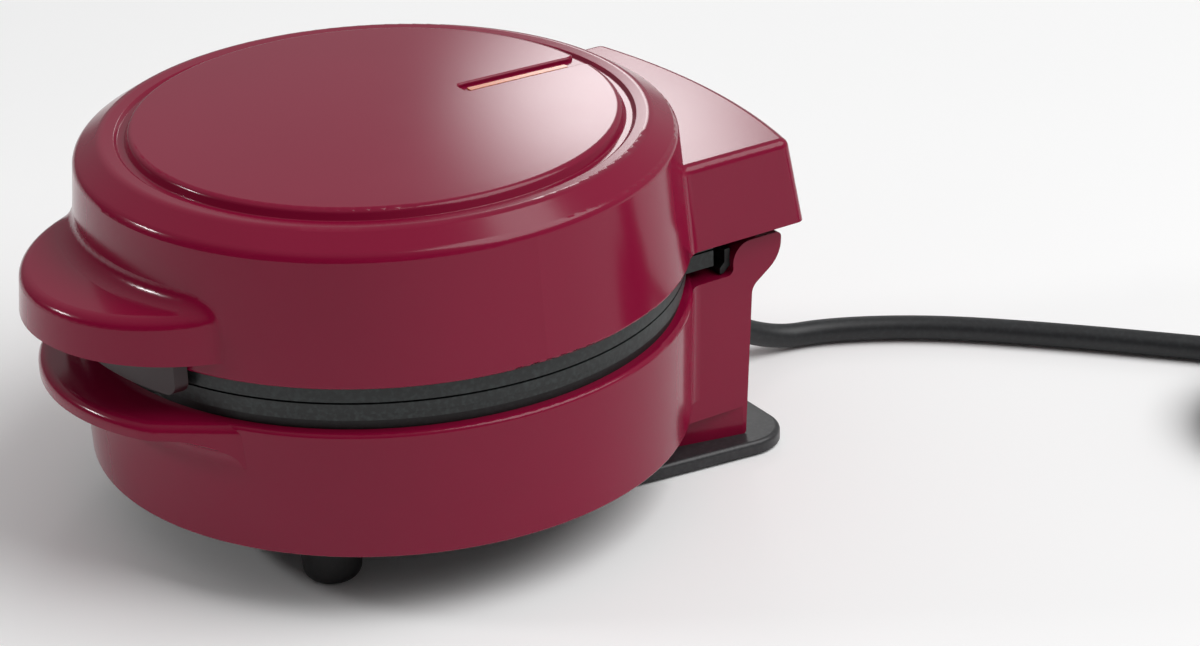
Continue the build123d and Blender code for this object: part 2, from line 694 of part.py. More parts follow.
def plate_blank(face_z, back_z, floor_z, flange_z):
    """Cast plate with its dish, gutter and rear tab; works upwards or downwards."""
    up = 1 if back_z > face_z else -1
    flange = rod(0, 0, min(face_z, flange_z), max(face_z, flange_z), PLATE_R)
    tab = box(-TAB_HALF, TAB_HALF, 0, TAB_REAR_Y, min(face_z, flange_z), max(face_z, flange_z))
    bowl = turned_points([
        (0, face_z), (DISH_R + PLATE_T, face_z), (DISH_R + PLATE_T, flange_z),
        (DISH_R - DISH_TAPER + PLATE_T, back_z), (0, back_z)])
    hollow = turned_points([
        (0, face_z - up), (DISH_R + 0.2, face_z - up), (DISH_R, face_z),
        (DISH_R - DISH_TAPER, floor_z), (0, floor_z)])
    body = flange + tab + bowl - hollow
    gutter_z = face_z + up * GUTTER_DEPTH
    gutter = ring(GUTTER_R - GUTTER_W / 2, GUTTER_R + GUTTER_W / 2,
                  min(gutter_z, face_z - up), max(gutter_z, face_z - up))
    body -= gutter
    for x, y, z in around(BOSS_RING_R, [90, 210, 330]):
        end = back_z + up * HEATER_STACK
        body += rod(x, y, min(back_z, end), max(back_z, end), BOSS_R)
        pilot = end - up * (SCREW_BITE + FRAME_T)
        body -= rod(x, y, min(pilot, end), max(pilot, end), PILOT_R)
    return body


def plate_screw_holes(body, flange_z, up):
    """Blind holes in the flange for the screws of its frame."""
    depth = flange_z - up * SCREW_BITE
    for x, y, z in UPPER_PLATE_SCREWS:
        body -= rod(x, y, min(depth, flange_z), max(depth, flange_z), PILOT_R)
    return body


def upper_plate():
    """Upper waffle plate, pegs pointing down."""
    body = plate_blank(UPPER_FACE_Z, UPPER_BACK_Z, UPPER_FLOOR_Z, LID_FOOT_Z)
    turned_pegs = [Pos(0, 0, UPPER_FLOOR_Z) * Rot(180, 0, 0) * peg for peg in pegs()]
    body += turned_pegs
    return plate_screw_holes(body, LID_FOOT_Z, 1)


def lower_plate():
    """Lower waffle plate, pegs pointing up, with a fine step round its flange."""
    body = plate_blank(LOWER_FACE_Z, LOWER_BACK_Z, LOWER_FLOOR_Z, LOWER_FLANGE_Z)
    step_z = LOWER_FLANGE_Z + PLATE_STEP_H
    body -= (ring(PLATE_R - PLATE_STEP, PLATE_R + 5, LOWER_FLANGE_Z, step_z)
             - box(-TAB_HALF, TAB_HALF, 0, PLATE_R + 5, LOWER_FLANGE_Z, step_z))
    body += [Pos(0, 0, LOWER_FLOOR_Z) * peg for peg in pegs()]
    return plate_screw_holes(body, LOWER_FLANGE_Z, -1)


def heater(z, up):
    """Ring heater with two terminal pins that turn away from the plate."""
    half = radians(HEATER_SPAN / 2)
    start = (HEATER_RING_R * sin(-half), HEATER_RING_R * cos(-half))
    end = (HEATER_RING_R * sin(half), HEATER_RING_R * cos(half))
    path = Pos(0, 0, z) * ThreePointArc(start, (0, HEATER_RING_R), end)
    profile = Plane(origin=path @ 0, z_dir=path % 0) * Circle(TUBE_R)
    tube = sweep(profile, path=path)
    pins = []
    for t in (0, 1):
        point = path @ t
        outward = (path % t) * (1 if t else -1)
        inner = point - outward * TERMINAL_L / 3
        tip = point + outward * TERMINAL_L
        line = Line(inner, tip)
        pins.append(sweep(Plane(origin=inner, z_dir=outward) * Circle(TERMINAL_R), path=line))
    return Rot(0, 0, 180) * (tube + pins)


def reflector(z):
    """Thin disc that holds a heater against its plate."""
    body = rod(0, 0, z, z + REFLECTOR_T, REFLECTOR_R)
    for x, y, w in around(BOSS_RING_R, [90, 210, 330]):
        body -= rod(x, y, z - 1, z + 2, PILOT_R)
    return body


def thermostat():
    """Snap disc thermostat under the middle of the lower plate."""
    top = LOWER_BACK_Z - SNUG
    body = rod(0, 0, top - THERMOSTAT_H, top, THERMOSTAT_R)
    half = THERMOSTAT_FLANGE
    low = LOWER_REFLECTOR_Z - EAR_T
    ears = box(-half, half, -THERMOSTAT_R / 2, THERMOSTAT_R / 2, low, LOWER_REFLECTOR_Z)
    body += ears
    for x in (-half + RIVET_IN, half - RIVET_IN):
        body -= rod(x, 0, low - 1, LOWER_REFLECTOR_Z + 1, RIVET_R + SNUG)
    return body


def lower_reflector():
    """Reflector of the lower heater, with the hole for the thermostat."""
    body = reflector(LOWER_REFLECTOR_Z)
    body -= rod(0, 0, LOWER_REFLECTOR_Z - 1, LOWER_REFLECTOR_Z + 2, THERMOSTAT_R + FIT)
    for x in (-THERMOSTAT_FLANGE + RIVET_IN, THERMOSTAT_FLANGE - RIVET_IN):
        body -= rod(x, 0, LOWER_REFLECTOR_Z - 1, LOWER_REFLECTOR_Z + 2, RIVET_R + SNUG)
    return body


def thermostat_rivets():
    """Two rivets between the thermostat's ears and the reflector."""
    rivets = []
    low = LOWER_REFLECTOR_Z - EAR_T
    top = LOWER_REFLECTOR_Z + REFLECTOR_T
    for x in (-THERMOSTAT_FLANGE + RIVET_IN, THERMOSTAT_FLANGE - RIVET_IN):
        shank = rod(x, 0, low, top, RIVET_R)
        rivets.append(shank + rod(x, 0, low - RIVET_HEAD_H, low, RIVET_HEAD_R)
                      + rod(x, 0, top, top + RIVET_HEAD_H, RIVET_HEAD_R))
    return Compound(children=rivets)


def thermal_fuse():
    """Cut-out that lies on the upper reflector."""
    z = UPPER_REFLECTOR_Z + REFLECTOR_T + FUSE_R
    body = cross_rod(-FUSE_LENGTH / 2, FUSE_LENGTH / 2, FUSE_Y, z, FUSE_R)
    reach = FUSE_LENGTH / 2 + FUSE_WIRE_L
    return body + cross_rod(-reach, reach, FUSE_Y, z, FUSE_WIRE_R)


def fuse_clip():
    """Strap over the cut-out, with a foot on each side."""
    base = UPPER_REFLECTOR_Z + REFLECTOR_T
    z = base + FUSE_R
    outer = FUSE_R + SNUG + CLIP_T
    half = CLIP_HALF
    reach = outer + CLIP_FOOT_W
    hoop = cross_rod(-half, half, FUSE_Y, z, outer)
    hoop += box(-half, half, FUSE_Y - outer, FUSE_Y + outer, base, z)
    feet = box(-half, half, FUSE_Y - reach, FUSE_Y + reach, base, base + CLIP_T)
    tunnel = cross_rod(-half - 1, half + 1, FUSE_Y, z, FUSE_R + SNUG)
    tunnel += box(-half - 1, half + 1, FUSE_Y - FUSE_R - SNUG, FUSE_Y + FUSE_R + SNUG, base - 1, z)
    return hoop + feet - tunnel


def reflector_screws(face_z, up):
    """Screws through a reflector into the bosses of its plate."""
    return Compound(children=[pan_screw(x, y, face_z, up)
                              for x, y, z in around(BOSS_RING_R, [90, 210, 330])])


# Base shell

SLOT_HALF = ARM_W / 2 + ARM_SIDE_GAP


def post_outline():
    """Outline of the hinge post in Y and Z, with the knuckle that carries the pin."""
    rear = PIVOT_Y + KNUCKLE_BACK
    outline = FilletPolyline(
        (POST_FRONT_Y, POST_Z), (POST_REAR_FOOT, POST_Z), (POST_REAR_TOP, NECK_Z),
        (rear, KNUCKLE_FOOT_Z), (rear, EAR_TOP_Z), (EAR_FRONT_Y, EAR_TOP_Z),
        (EAR_FRONT_Y, STEP_Z), (POST_FRONT_Y, STEP_Z),
        radius=[EDGE, NECK_FILLET, KNUCKLE_ROUND, EAR_REAR_FILLET, EAR_FRONT_FILLET,
                EAR_FOOT_FILLET])
    return [*outline.edges(), Line((POST_FRONT_Y, STEP_Z), (POST_FRONT_Y, POST_Z))]


def post_plan(z):
    """Plan of the post at one level, its sides flared into the round wall."""
    share = (z - FOOT_H) / (RIM_Z - FOOT_H)
    wall_r = BASE_FOOT_R + (BASE_R - BASE_FOOT_R) * share - FLARE_SINK
    return flared_face(POST_HALF, wall_r, POST_FLARE, PIVOT_Y + 2 * KNUCKLE_BACK, 0.0, POST_FRONT_Y - 5, z)


def post_outer():
    """Outside of the post: straight sides below the round body, flared ones beside it."""
    wide = extruded_x(POST_HALF + POST_FLARE, *post_outline())
    low = box(-POST_HALF, POST_HALF, 0, PIVOT_Y + 2 * KNUCKLE_BACK, POST_Z - 1, FOOT_H)
    high = loft([post_plan(FOOT_H), post_plan(EAR_TOP_Z + 1)], ruled=True)
    return wide & (low + high)


def hinge_shield():
    """Two dark strips that close the notch in front of the ears, one each side of the lead."""
    foot_y = EAR_FRONT_Y - EAR_FOOT_FILLET - FIT
    front_y = LOWER_FRAME_R + FIT
    wall_y = EAR_FRONT_Y - SHIELD_T
    outline = Polyline(
        (front_y, RIM_Z), (foot_y, RIM_Z), (EAR_FRONT_Y, RIM_Z + EAR_FOOT_FILLET),
        (EAR_FRONT_Y, SHIELD_TOP_Z), (wall_y, SHIELD_TOP_Z), (wall_y, RIM_Z + 2 * SHIELD_T),
        (front_y, RIM_Z + SHIELD_T), close=True)
    body = extruded_x(POST_HALF - SHIELD_INSET, *outline.edges())
    return body - box(-LEAD_R - 2, LEAD_R + 2, front_y - 1, EAR_FRONT_Y + 1,
                      RIM_Z - 1, SHIELD_TOP_Z + 1)


def lip():
    """Lip of the base under the handle, its root flaring down into the wall."""
    rake = radians(LIP_SIDE_ANGLE)
    centre_y = LIP_TIP_Y + LIP_FRONT_R
    back_y = -BASE_R * 0.5
    back_x = LIP_HALF + (back_y - LIP_ROOT_Y) * cos(rake) / sin(rake)
    tip_y = 2 * LIP_TIP_Y
    tip_x = LIP_HALF + (tip_y - LIP_ROOT_Y) * cos(rake) / sin(rake)
    wedge = make_face(Polyline((-back_x, back_y), (back_x, back_y), (tip_x, tip_y),
                               (-tip_x, tip_y), close=True))
    disc = Pos(0, centre_y) * Circle(LIP_FRONT_R)
    plan = wedge & disc
    depth = LIP_T + LIP_ROOT_FILLET
    body = extrude(Pos(0, 0, RIM_Z - depth) * plan, amount=depth)
    corners = [e for e in body.edges().filter_by(Axis.Z) if e.center().Y < LIP_ROOT_Y]
    body = fillet(corners, LIP_CORNER)
    scoop_r = LIP_ROOT_FILLET
    scoop_at = BASE_R + scoop_r
    under = turned(
        Line((BASE_R - 1, RIM_Z - depth - 1), (BASE_R - 1, RIM_Z - depth)),
        Line((BASE_R - 1, RIM_Z - depth), (BASE_R, RIM_Z - depth)),
        ThreePointArc((BASE_R, RIM_Z - depth),
                      (scoop_at - scoop_r * cos(pi / 4), RIM_Z - depth + scoop_r * sin(pi / 4)),
                      (scoop_at, RIM_Z - LIP_T)),
        Line((scoop_at, RIM_Z - LIP_T), (2 * BASE_R, RIM_Z - LIP_T)),
        Line((2 * BASE_R, RIM_Z - LIP_T), (2 * BASE_R, RIM_Z - depth - 1)),
        Line((2 * BASE_R, RIM_Z - depth - 1), (BASE_R - 1, RIM_Z - depth - 1)))
    body -= under
    top = [e for e in body.edges() if e.center().Z > RIM_Z - 0.1 and e.center().Y < LIP_ROOT_Y]
    return fillet(top, LIP_EDGE)


def base_outer():
    """Outside of the round base."""
    wall = FilletPolyline((0, FOOT_H), (BASE_FOOT_R, FOOT_H), (BASE_R, RIM_Z), (0, RIM_Z),
                          radius=[0.5, RIM_EDGE])
    return turned(*wall.edges(), Line((0, RIM_Z), (0, FOOT_H)))


BASE_BOSSES = around(SHELL_SCREW_RING, [0, 180, 235, 305])
COVER_BOSSES = around(PLATE_SCREW_RING, [20, 160, 270])


def knuckle_slot(x0, x1):
    """Slot for a hinge arm: round at the pin, open above and behind, down to the stop."""
    turn = radians(OPEN_ANGLE - 90)
    floor = ARM_BACK + STOP_GAP
    far = 4 * KNUCKLE_BACK
    top = EAR_TOP_Z + 5 - PIVOT_Z
    front = -ARM_R - FIT
    normal_y = -sin(turn)
    normal_z = -cos(turn)
    near_y = floor * normal_y
    near_z = floor * normal_z
    corners = [(front, top), (front, 0), (near_y, near_z),
               (near_y + far * cos(turn), near_z - far * sin(turn)), (far, top)]
    outline = Polyline(*[(PIVOT_Y + y, PIVOT_Z + z) for y, z in corners], close=True)
    body = extrude(Plane.YZ * make_face(outline.edges()), amount=x1 - x0)
    body = Pos(x0, 0, 0) * body
    return body + cross_rod(x0, x1, PIVOT_Y, PIVOT_Z, ARM_R + FIT)


def post_inner():
    """Hollow of the post, narrower where the wall is drawn in at its foot."""
    side = POST_HALF - POST_WALL
    rear = POST_REAR_FOOT - POST_WALL
    foot_side = side - RECESS_DEPTH
    shoulder = POST_Z + RECESS_H + POST_WALL
    front = POST_FRONT_Y + POST_WALL
    low = box(-foot_side, foot_side, front, rear, POST_Z - 1, shoulder)
    high = box(-side, side, front, rear, shoulder - 0.1, STEP_Z - POST_WALL)
    room = box(-side, side, 0, front + 1, COVER_PLATE_TOP, STEP_Z - POST_WALL)
    return low + high + room


def recess_cut():
    """Wedge cut from the foot of the post's side, fading out to the rear."""
    wedge = make_face(Polyline(
        (POST_HALF + 1, RECESS_START_Y - 5), (POST_HALF - RECESS_DEPTH, RECESS_START_Y - 5),
        (POST_HALF - RECESS_DEPTH, RECESS_START_Y + 5), (POST_HALF, RECESS_END_Y),
        (POST_HALF + 1, RECESS_END_Y), close=True))
    return extrude(Pos(0, 0, POST_Z - 1) * wedge, amount=RECESS_H + 1)


def base_shell():
    """Round base, lip and hinge post as one moulding."""
    skin = base_outer() + post_outer() + lip()
    inner = turned_points([
        (0, FOOT_H - 1), (BASE_FOOT_R - BASE_WALL, FOOT_H - 1),
        (BASE_R - BASE_WALL, RIM_Z - BASE_WALL), (RIM_BORE_R, RIM_Z - BASE_WALL),
        (RIM_BORE_R, RIM_Z + 1), (0, RIM_Z + 1)])
    front_wall = box(-POST_HALF, POST_HALF, POST_FRONT_Y, POST_FRONT_Y + POST_WALL,
                     POST_Z, COVER_PLATE_TOP)
    skin -= inner - box(-POST_HALF, POST_HALF, POST_FRONT_Y, PLATE_R, FOOT_H - 2, COVER_PLATE_TOP)
    skin += front_wall
    skin -= post_inner()
    for side in (recess_cut(), mirror(recess_cut(), about=Plane.YZ)):
        skin -= side
    for x in (-ARM_X, ARM_X):
        skin -= knuckle_slot(x - SLOT_HALF, x + SLOT_HALF)
    skin -= knuckle_slot(-LEAD_R - 2, LEAD_R + 2)
    skin -= cross_rod(-POST_HALF - 1, PIN_HALF + SNUG, PIVOT_Y, PIVOT_Z, PIN_R + RUN / 2)
    skin -= cross_rod(-POST_HALF - 1, -PIN_HALF - 1, PIVOT_Y, PIVOT_Z, PIN_R + 1.0)
    skin -= box(-LEAD_R - FIT, LEAD_R + FIT, LEAD_Y - LEAD_R - FIT, PIVOT_Y,
                STEP_Z - POST_WALL - 1, EAR_TOP_Z + 1)
    skin += clamp_shelf()
    skin -= Pos(0, POST_REAR_FOOT, CORD_EXIT_Z) * Rot(90, 0, 0) * Cylinder(BUSH_R, 3 * POST_WALL)
    for x in (-CLAMP_SCREW_X, CLAMP_SCREW_X):
        top = CORD_EXIT_Z - CORD_R
        skin -= rod(x, CLAMP_Y, top - SCREW_BITE - 0.5, top + 1, PILOT_R)
    for x, y, z in BASE_BOSSES:
        boss = rod(x, y, RIM_Z - BASE_WALL - SCREW_BITE - 2, RIM_Z - 1, SCREW_HEAD_R)
        skin += boss & rod(0, 0, FOOT_H, RIM_Z, BASE_FOOT_R - 1)
        skin -= rod(x, y, RIM_Z - BASE_WALL - SCREW_BITE, RIM_Z + 1, PILOT_R)
    for x, y, z in COVER_BOSSES:
        boss = rod(x, y, COVER_PLATE_TOP, COVER_PLATE_TOP + 8, SCREW_HEAD_R + 0.6)
        rib_x = x * BASE_FOOT_R / PLATE_SCREW_RING
        rib_y = y * BASE_FOOT_R / PLATE_SCREW_RING
        rib = extrude(Pos(0, 0, COVER_PLATE_TOP) * thin_rib(x, y, rib_x, rib_y), amount=8)
        skin += (boss + rib) & rod(0, 0, FOOT_H, RIM_Z, BASE_FOOT_R - 1)
        skin -= rod(x, y, COVER_PLATE_TOP - 1, COVER_PLATE_TOP + SCREW_BITE + SCREW_HEAD_H, PILOT_R)
    for x, y in FLANGE_SCREWS:
        top = POST_Z + FLANGE_POST_H
        skin += rod(x, y, POST_Z, top, SCREW_HEAD_R + 0.4)
        front = POST_FRONT_Y + POST_WALL
        rear = POST_REAR_FOOT - POST_WALL
        web_y = front if y == FLANGE_SCREW_FRONT else rear
        skin += box(x - 1, x + 1, min(y, web_y) - 0.1, max(y, web_y) + 0.1, POST_Z, top)
        skin -= rod(x, y, POST_Z - 1, POST_Z + SCREW_BITE + 1, PILOT_R)
    return skin


def thin_rib(x0, y0, x1, y1):
    """Flat strip, 2 mm wide, from one point to another in plan."""
    length = hypot(x1 - x0, y1 - y0)
    angle = degrees(atan2(y1 - y0, x1 - x0))
    return Pos((x0 + x1) / 2, (y0 + y1) / 2) * Rot(0, 0, angle) * Rectangle(length, 2)


FLANGE_SCREW_X = POST_HALF - 14.0
FLANGE_SCREW_FRONT = POST_FRONT_Y + 8.0
FLANGE_SCREW_REAR = POST_REAR_FOOT - 7.9
FLANGE_SCREWS = [(x, y) for y in (FLANGE_SCREW_FRONT, FLANGE_SCREW_REAR)
                 for x in (-FLANGE_SCREW_X, FLANGE_SCREW_X)]
FLANGE_POST_H = 14.0


def lower_frame():
    """Ring on the rim of the base that carries the lower plate."""
    body = ring(FRAME_BORE_R, LOWER_FRAME_R, RIM_Z, LOWER_FLANGE_Z)
    for x, y, z in BASE_BOSSES:
        body -= rod(x, y, RIM_Z - 1, LOWER_FLANGE_Z + 1, PILOT_R)
        body -= rod(x, y, LOWER_FLANGE_Z - SCREW_HEAD_H, LOWER_FLANGE_Z + 1, SCREW_HEAD_R + SNUG)
    for x, y, z in UPPER_PLATE_SCREWS:
        body -= rod(x, y, RIM_Z - 1, LOWER_FLANGE_Z + 1, PILOT_R)
    return body - rod(0, LEAD_Y, RIM_Z - 1, LOWER_FLANGE_Z + 1, LEAD_R + FIT)


def lower_frame_screws():
    """Screws from the ring down into the rim of the base."""
    return Compound(children=[pan_screw(x, y, LOWER_FLANGE_Z - SCREW_HEAD_H, -1)
                              for x, y, z in BASE_BOSSES])


def lower_plate_screws():
    """Screws from the ring up into the flange of the lower plate."""
    return Compound(children=[pan_screw(x, y, RIM_Z, 1) for x, y, z in UPPER_PLATE_SCREWS])


def bottom_cover():
    """Cover that closes the round base from below."""
    body = rod(0, 0, FOOT_H, COVER_PLATE_TOP, BASE_FOOT_R - BASE_WALL - FIT)
    body -= box(-POST_HALF - FIT, POST_HALF + FIT, POST_FRONT_Y - FIT, 2 * BASE_FOOT_R,
                0, COVER_PLATE_TOP + 1)
    for x in (-FRONT_FOOT_X, FRONT_FOOT_X):
        body -= rod(x, FRONT_FOOT_Y, FOOT_H - 1, COVER_PLATE_TOP + 1, FOOT_STEM_R + SNUG)
    for x, y, z in COVER_BOSSES:
        body -= rod(x, y, FOOT_H - 1, COVER_PLATE_TOP + 1, PILOT_R)
        body -= rod(x, y, FOOT_H - 1, FOOT_H + SCREW_HEAD_H, SCREW_HEAD_R + SNUG)
    return body


def cover_screws():
    """Screws from below through the bottom cover."""
    return Compound(children=[pan_screw(x, y, FOOT_H + SCREW_HEAD_H, 1)
                              for x, y, z in COVER_BOSSES])


def front_foot(x):
    """Rubber foot with a stem that snaps into the bottom cover."""
    neck = COVER_PLATE_TOP + SNUG
    outline = FilletPolyline(
        (0, 0), (FRONT_FOOT_TIP_R, 0), (FRONT_FOOT_R, FOOT_H), (FOOT_STEM_R, FOOT_H),
        (FOOT_STEM_R, neck), (FOOT_BARB_R, neck), (FOOT_STEM_R - 0.6, neck + 4), (0, neck + 4),
        radius=[FRONT_FOOT_ROUND, 0.4, 0.1, 0.1, 0.3, 0.5])
    foot = turned(*outline.edges(), Line((0, neck + 4), (0, 0)))
    return Pos(x, FRONT_FOOT_Y, 0) * foot


def rear_flange():
    """Flat foot under the hinge post, wider than the post so that it keeps the wound cord."""
    outline = Polyline(
        (-FLANGE_FRONT_HALF, FLANGE_FRONT_Y), (FLANGE_FRONT_HALF, FLANGE_FRONT_Y),
        (FLANGE_REAR_HALF, FLANGE_REAR_Y), (-FLANGE_REAR_HALF, FLANGE_REAR_Y), close=True)
    body = extrude(Pos(0, 0, FLANGE_LIFT) * make_face(outline), amount=POST_Z - FLANGE_LIFT)
    rear = [e for e in body.edges().filter_by(Axis.Z) if e.center().Y > POST_REAR_FOOT]
    body = fillet(rear, FLANGE_CORNER)
    top = body.edges().group_by(Axis.Z)[-1]
    body = fillet(top, FLANGE_EDGE)
    for x in (-PAD_X, PAD_X):
        body -= rod(x, PAD_Y, FLANGE_LIFT - 1, FLANGE_LIFT + PAD_SINK, PAD_R + SNUG)
    for x, y in FLANGE_SCREWS:
        body -= rod(x, y, 0, POST_Z + 1, PILOT_R)
        body -= rod(x, y, 0, FLANGE_LIFT + SCREW_HEAD_H, SCREW_HEAD_R + SNUG)
    return body


def flange_screws():
    """Screws from below through the flange into the post."""
    return Compound(children=[pan_screw(x, y, FLANGE_LIFT + SCREW_HEAD_H, 1)
                              for x, y in FLANGE_SCREWS])


def flange_pads():
    """Two rubber discs sunk into the underside of the flange."""
    return Compound(children=[rod(x, PAD_Y, 0, FLANGE_LIFT + PAD_SINK, PAD_R)
                              for x in (-PAD_X, PAD_X)])


def hinge_pin():
    """Steel pin through the knuckle and both hinge arms."""
    return fillet(cross_rod(-PIN_HALF, PIN_HALF, PIVOT_Y, PIVOT_Z, PIN_R).edges(), 0.4)


def pin_cap():
    """Plug that closes the bore behind the hinge pin."""
    return cross_rod(-POST_HALF, -PIN_HALF - 1, PIVOT_Y, PIVOT_Z, PIN_R + 1.0 - SNUG)


# Electrical pieces in the post

BLOCK_TERMINAL_W = 26.0
BLOCK_TERMINAL_D = 10.0
BLOCK_TERMINAL_H = 12.0
BLOCK_TERMINAL_Z = 33.0


def terminal_block():
    """Three-pole terminal block on the rear wall of the post."""
    rear = POST_REAR_FOOT - POST_WALL
    half = BLOCK_TERMINAL_W / 2
    body = box(-half, half, rear - BLOCK_TERMINAL_D, rear,
               BLOCK_TERMINAL_Z, BLOCK_TERMINAL_Z + BLOCK_TERMINAL_H)
    body = fillet(body.edges().filter_by(Axis.Z), 1.0)
    for x in TERMINALS:
        body -= rod(x, rear - BLOCK_TERMINAL_D / 2, BLOCK_TERMINAL_Z + 4,
                    BLOCK_TERMINAL_Z + BLOCK_TERMINAL_H + 1, SCREW_R + FIT)
    return body


TERMINALS = [-8.0, 0.0, 8.0]


def terminal_screws():
    """Grub screws of the terminal block."""
    rear = POST_REAR_FOOT - POST_WALL
    return Compound(children=[rod(x, rear - BLOCK_TERMINAL_D / 2, BLOCK_TERMINAL_Z + 4,
                                  BLOCK_TERMINAL_Z + BLOCK_TERMINAL_H - 1, SCREW_R)
                              for x in TERMINALS])


def cord_bush():
    """Rubber bush in the rear wall, with a tail that keeps the cord from kinking."""
    wall_out = POST_REAR_FOOT + (POST_REAR_TOP - POST_REAR_FOOT) * 0.5
    wall_in = POST_REAR_FOOT - POST_WALL
    tail_end = wall_out + BUSH_FLANGE_T + BUSH_TAIL
    outline = Polyline(
        (CORD_R, wall_in - BUSH_FLANGE_T), (BUSH_FLANGE_R, wall_in - BUSH_FLANGE_T),
        (BUSH_FLANGE_R, wall_in), (BUSH_R - SNUG, wall_in), (BUSH_R - SNUG, wall_out),
        (BUSH_FLANGE_R, wall_out), (BUSH_FLANGE_R, wall_out + BUSH_FLANGE_T),
        (BUSH_R, wall_out + BUSH_FLANGE_T), (BUSH_TAIL_R, tail_end), (CORD_R, tail_end), close=True)
    return Pos(0, 0, CORD_EXIT_Z) * Rot(-90, 0, 0) * turned(*outline.edges())


def clamp_shelf():
    """Ledge on the rear wall of the post that the cord lies on, clear of the bush."""
    rear = POST_REAR_FOOT - POST_WALL
    top = CORD_EXIT_Z - CORD_R
    body = box(-CLAMP_HALF, CLAMP_HALF, CLAMP_Y - CLAMP_W / 2, rear + 0.5, top - CLAMP_SHELF_T, top)
    lip_end = rear - BUSH_FLANGE_T - FIT
    return body - box(-BUSH_FLANGE_R - FIT, BUSH_FLANGE_R + FIT, lip_end, rear, 0, top + 1)


def cord_clamp():
    """Saddle that grips the cord on its ledge."""
    low = CORD_EXIT_Z - CORD_R
    front = CLAMP_Y - CLAMP_W / 2
    body = box(-CLAMP_HALF, CLAMP_HALF, front, front + CLAMP_W, low, CORD_EXIT_Z + CORD_R + CLAMP_T)
    body = fillet(body.edges().filter_by(Axis.Y).group_by(Axis.Z)[-1], 2.0)
    body -= box(-CORD_R, CORD_R, front - 1, front + CLAMP_W + 1, low - 1, CORD_EXIT_Z)
    body -= Pos(0, CLAMP_Y, CORD_EXIT_Z) * Rot(90, 0, 0) * Cylinder(CORD_R, 2 * CLAMP_W)
    for x in (-CLAMP_SCREW_X, CLAMP_SCREW_X):
        body -= rod(x, CLAMP_Y, low - 1, CORD_EXIT_Z + CORD_R + CLAMP_T + 1, PILOT_R)
    return body


def clamp_screws():
    """Two screws from the saddle down into its ledge."""
    top = CORD_EXIT_Z + CORD_R + CLAMP_T
    length = top - (CORD_EXIT_Z - CORD_R) + SCREW_BITE
    return Compound(children=[pan_screw(x, CLAMP_Y, top, -1, length)
                              for x in (-CLAMP_SCREW_X, CLAMP_SCREW_X)])


def lead_tube(*points):
    """Sleeved lead along a route with rounded corners."""
    path = FilletPolyline(*points, radius=LEAD_BEND)
    return sweep(Plane(origin=path @ 0, z_dir=path % 0) * Circle(LEAD_R), path=path)


def base_lead():
    """Lead from the terminal block up to the middle slot of the knuckle."""
    top = BLOCK_TERMINAL_Z + BLOCK_TERMINAL_H
    return lead_tube((0, LEAD_Y, top), (0, LEAD_Y, PIVOT_Z - LEAD_R),
                     (0, PIVOT_Y - LEAD_END, PIVOT_Z - LEAD_R / 4))


def lid_lead():
    """Lead from the knuckle up through the frame and forward over the upper reflector."""
    run_z = UPPER_REFLECTOR_Z + REFLECTOR_T + LEAD_R
    return lead_tube((0, PIVOT_Y, PIVOT_Z + LEAD_END), (0, PIVOT_Y, run_z),
                     (0, HEATER_RING_R + 2 * TUBE_R, run_z))


# Mains lead

def tangent_radii(points):
    """Radius of the arc at each inner corner of a route: 0.45 of the shorter run."""
    radii = []
    for a, b, c in zip(points, points[1:], points[2:]):
        before = Vector(b) - Vector(a)
        after = Vector(c) - Vector(b)
        turn = radians(before.get_angle(after))
        radii.append(0.45 * min(before.length, after.length) / tan(turn / 2))
    return radii


def cord_path():
    """Straight runs joined by tangent arcs."""
    return FilletPolyline(*CORD_ROUTE, radius=tangent_radii(CORD_ROUTE))


def power_cord():
    """Free stretch of the mains lead."""
    path = cord_path()
    print("cord radii", [round(r, 1) for r in tangent_radii(CORD_ROUTE)])
    tube = sweep(Plane(origin=path @ 0, z_dir=path % 0) * Circle(CORD_R), path=path)
    print(f"cord free stretch {path.length:.1f} mm, tube {tube.volume:.0f},"
          f" section times length {pi * CORD_R ** 2 * path.length:.0f} mm3")
    return tube


def biarc(p0, t0, p1, t1):
    """Two tangent arcs from one point and direction to another."""
    chord = p1 - p0
    a = 2 * (1 - t0.dot(t1))
    b = 2 * chord.dot(t0 + t1)
    c = chord.dot(chord)
    d = c / b if a < 1e-9 else (-b + sqrt(b * b + 4 * a * c)) / (2 * a)
    middle = ((p0 + t0 * d) + (p1 - t1 * d)) / 2
    direction = ((p1 - t1 * d) - (p0 + t0 * d)).normalized()
    return [TangentArc(p0, middle, tangent=t0), TangentArc(middle, p1, tangent=direction)]


def coil_frame():
    """Centre, start angle and heading of the coil, from where the free stretch ends."""
    end = Vector(*CORD_ROUTE[-1])
    heading = (end - Vector(*CORD_ROUTE[-2])).normalized()
    start = end + heading * 2 * CORD_R
    side = Vector(heading.Y, -heading.X, 0)
    centre = start + side * COIL_OUTER_R
    return end, heading, start, centre


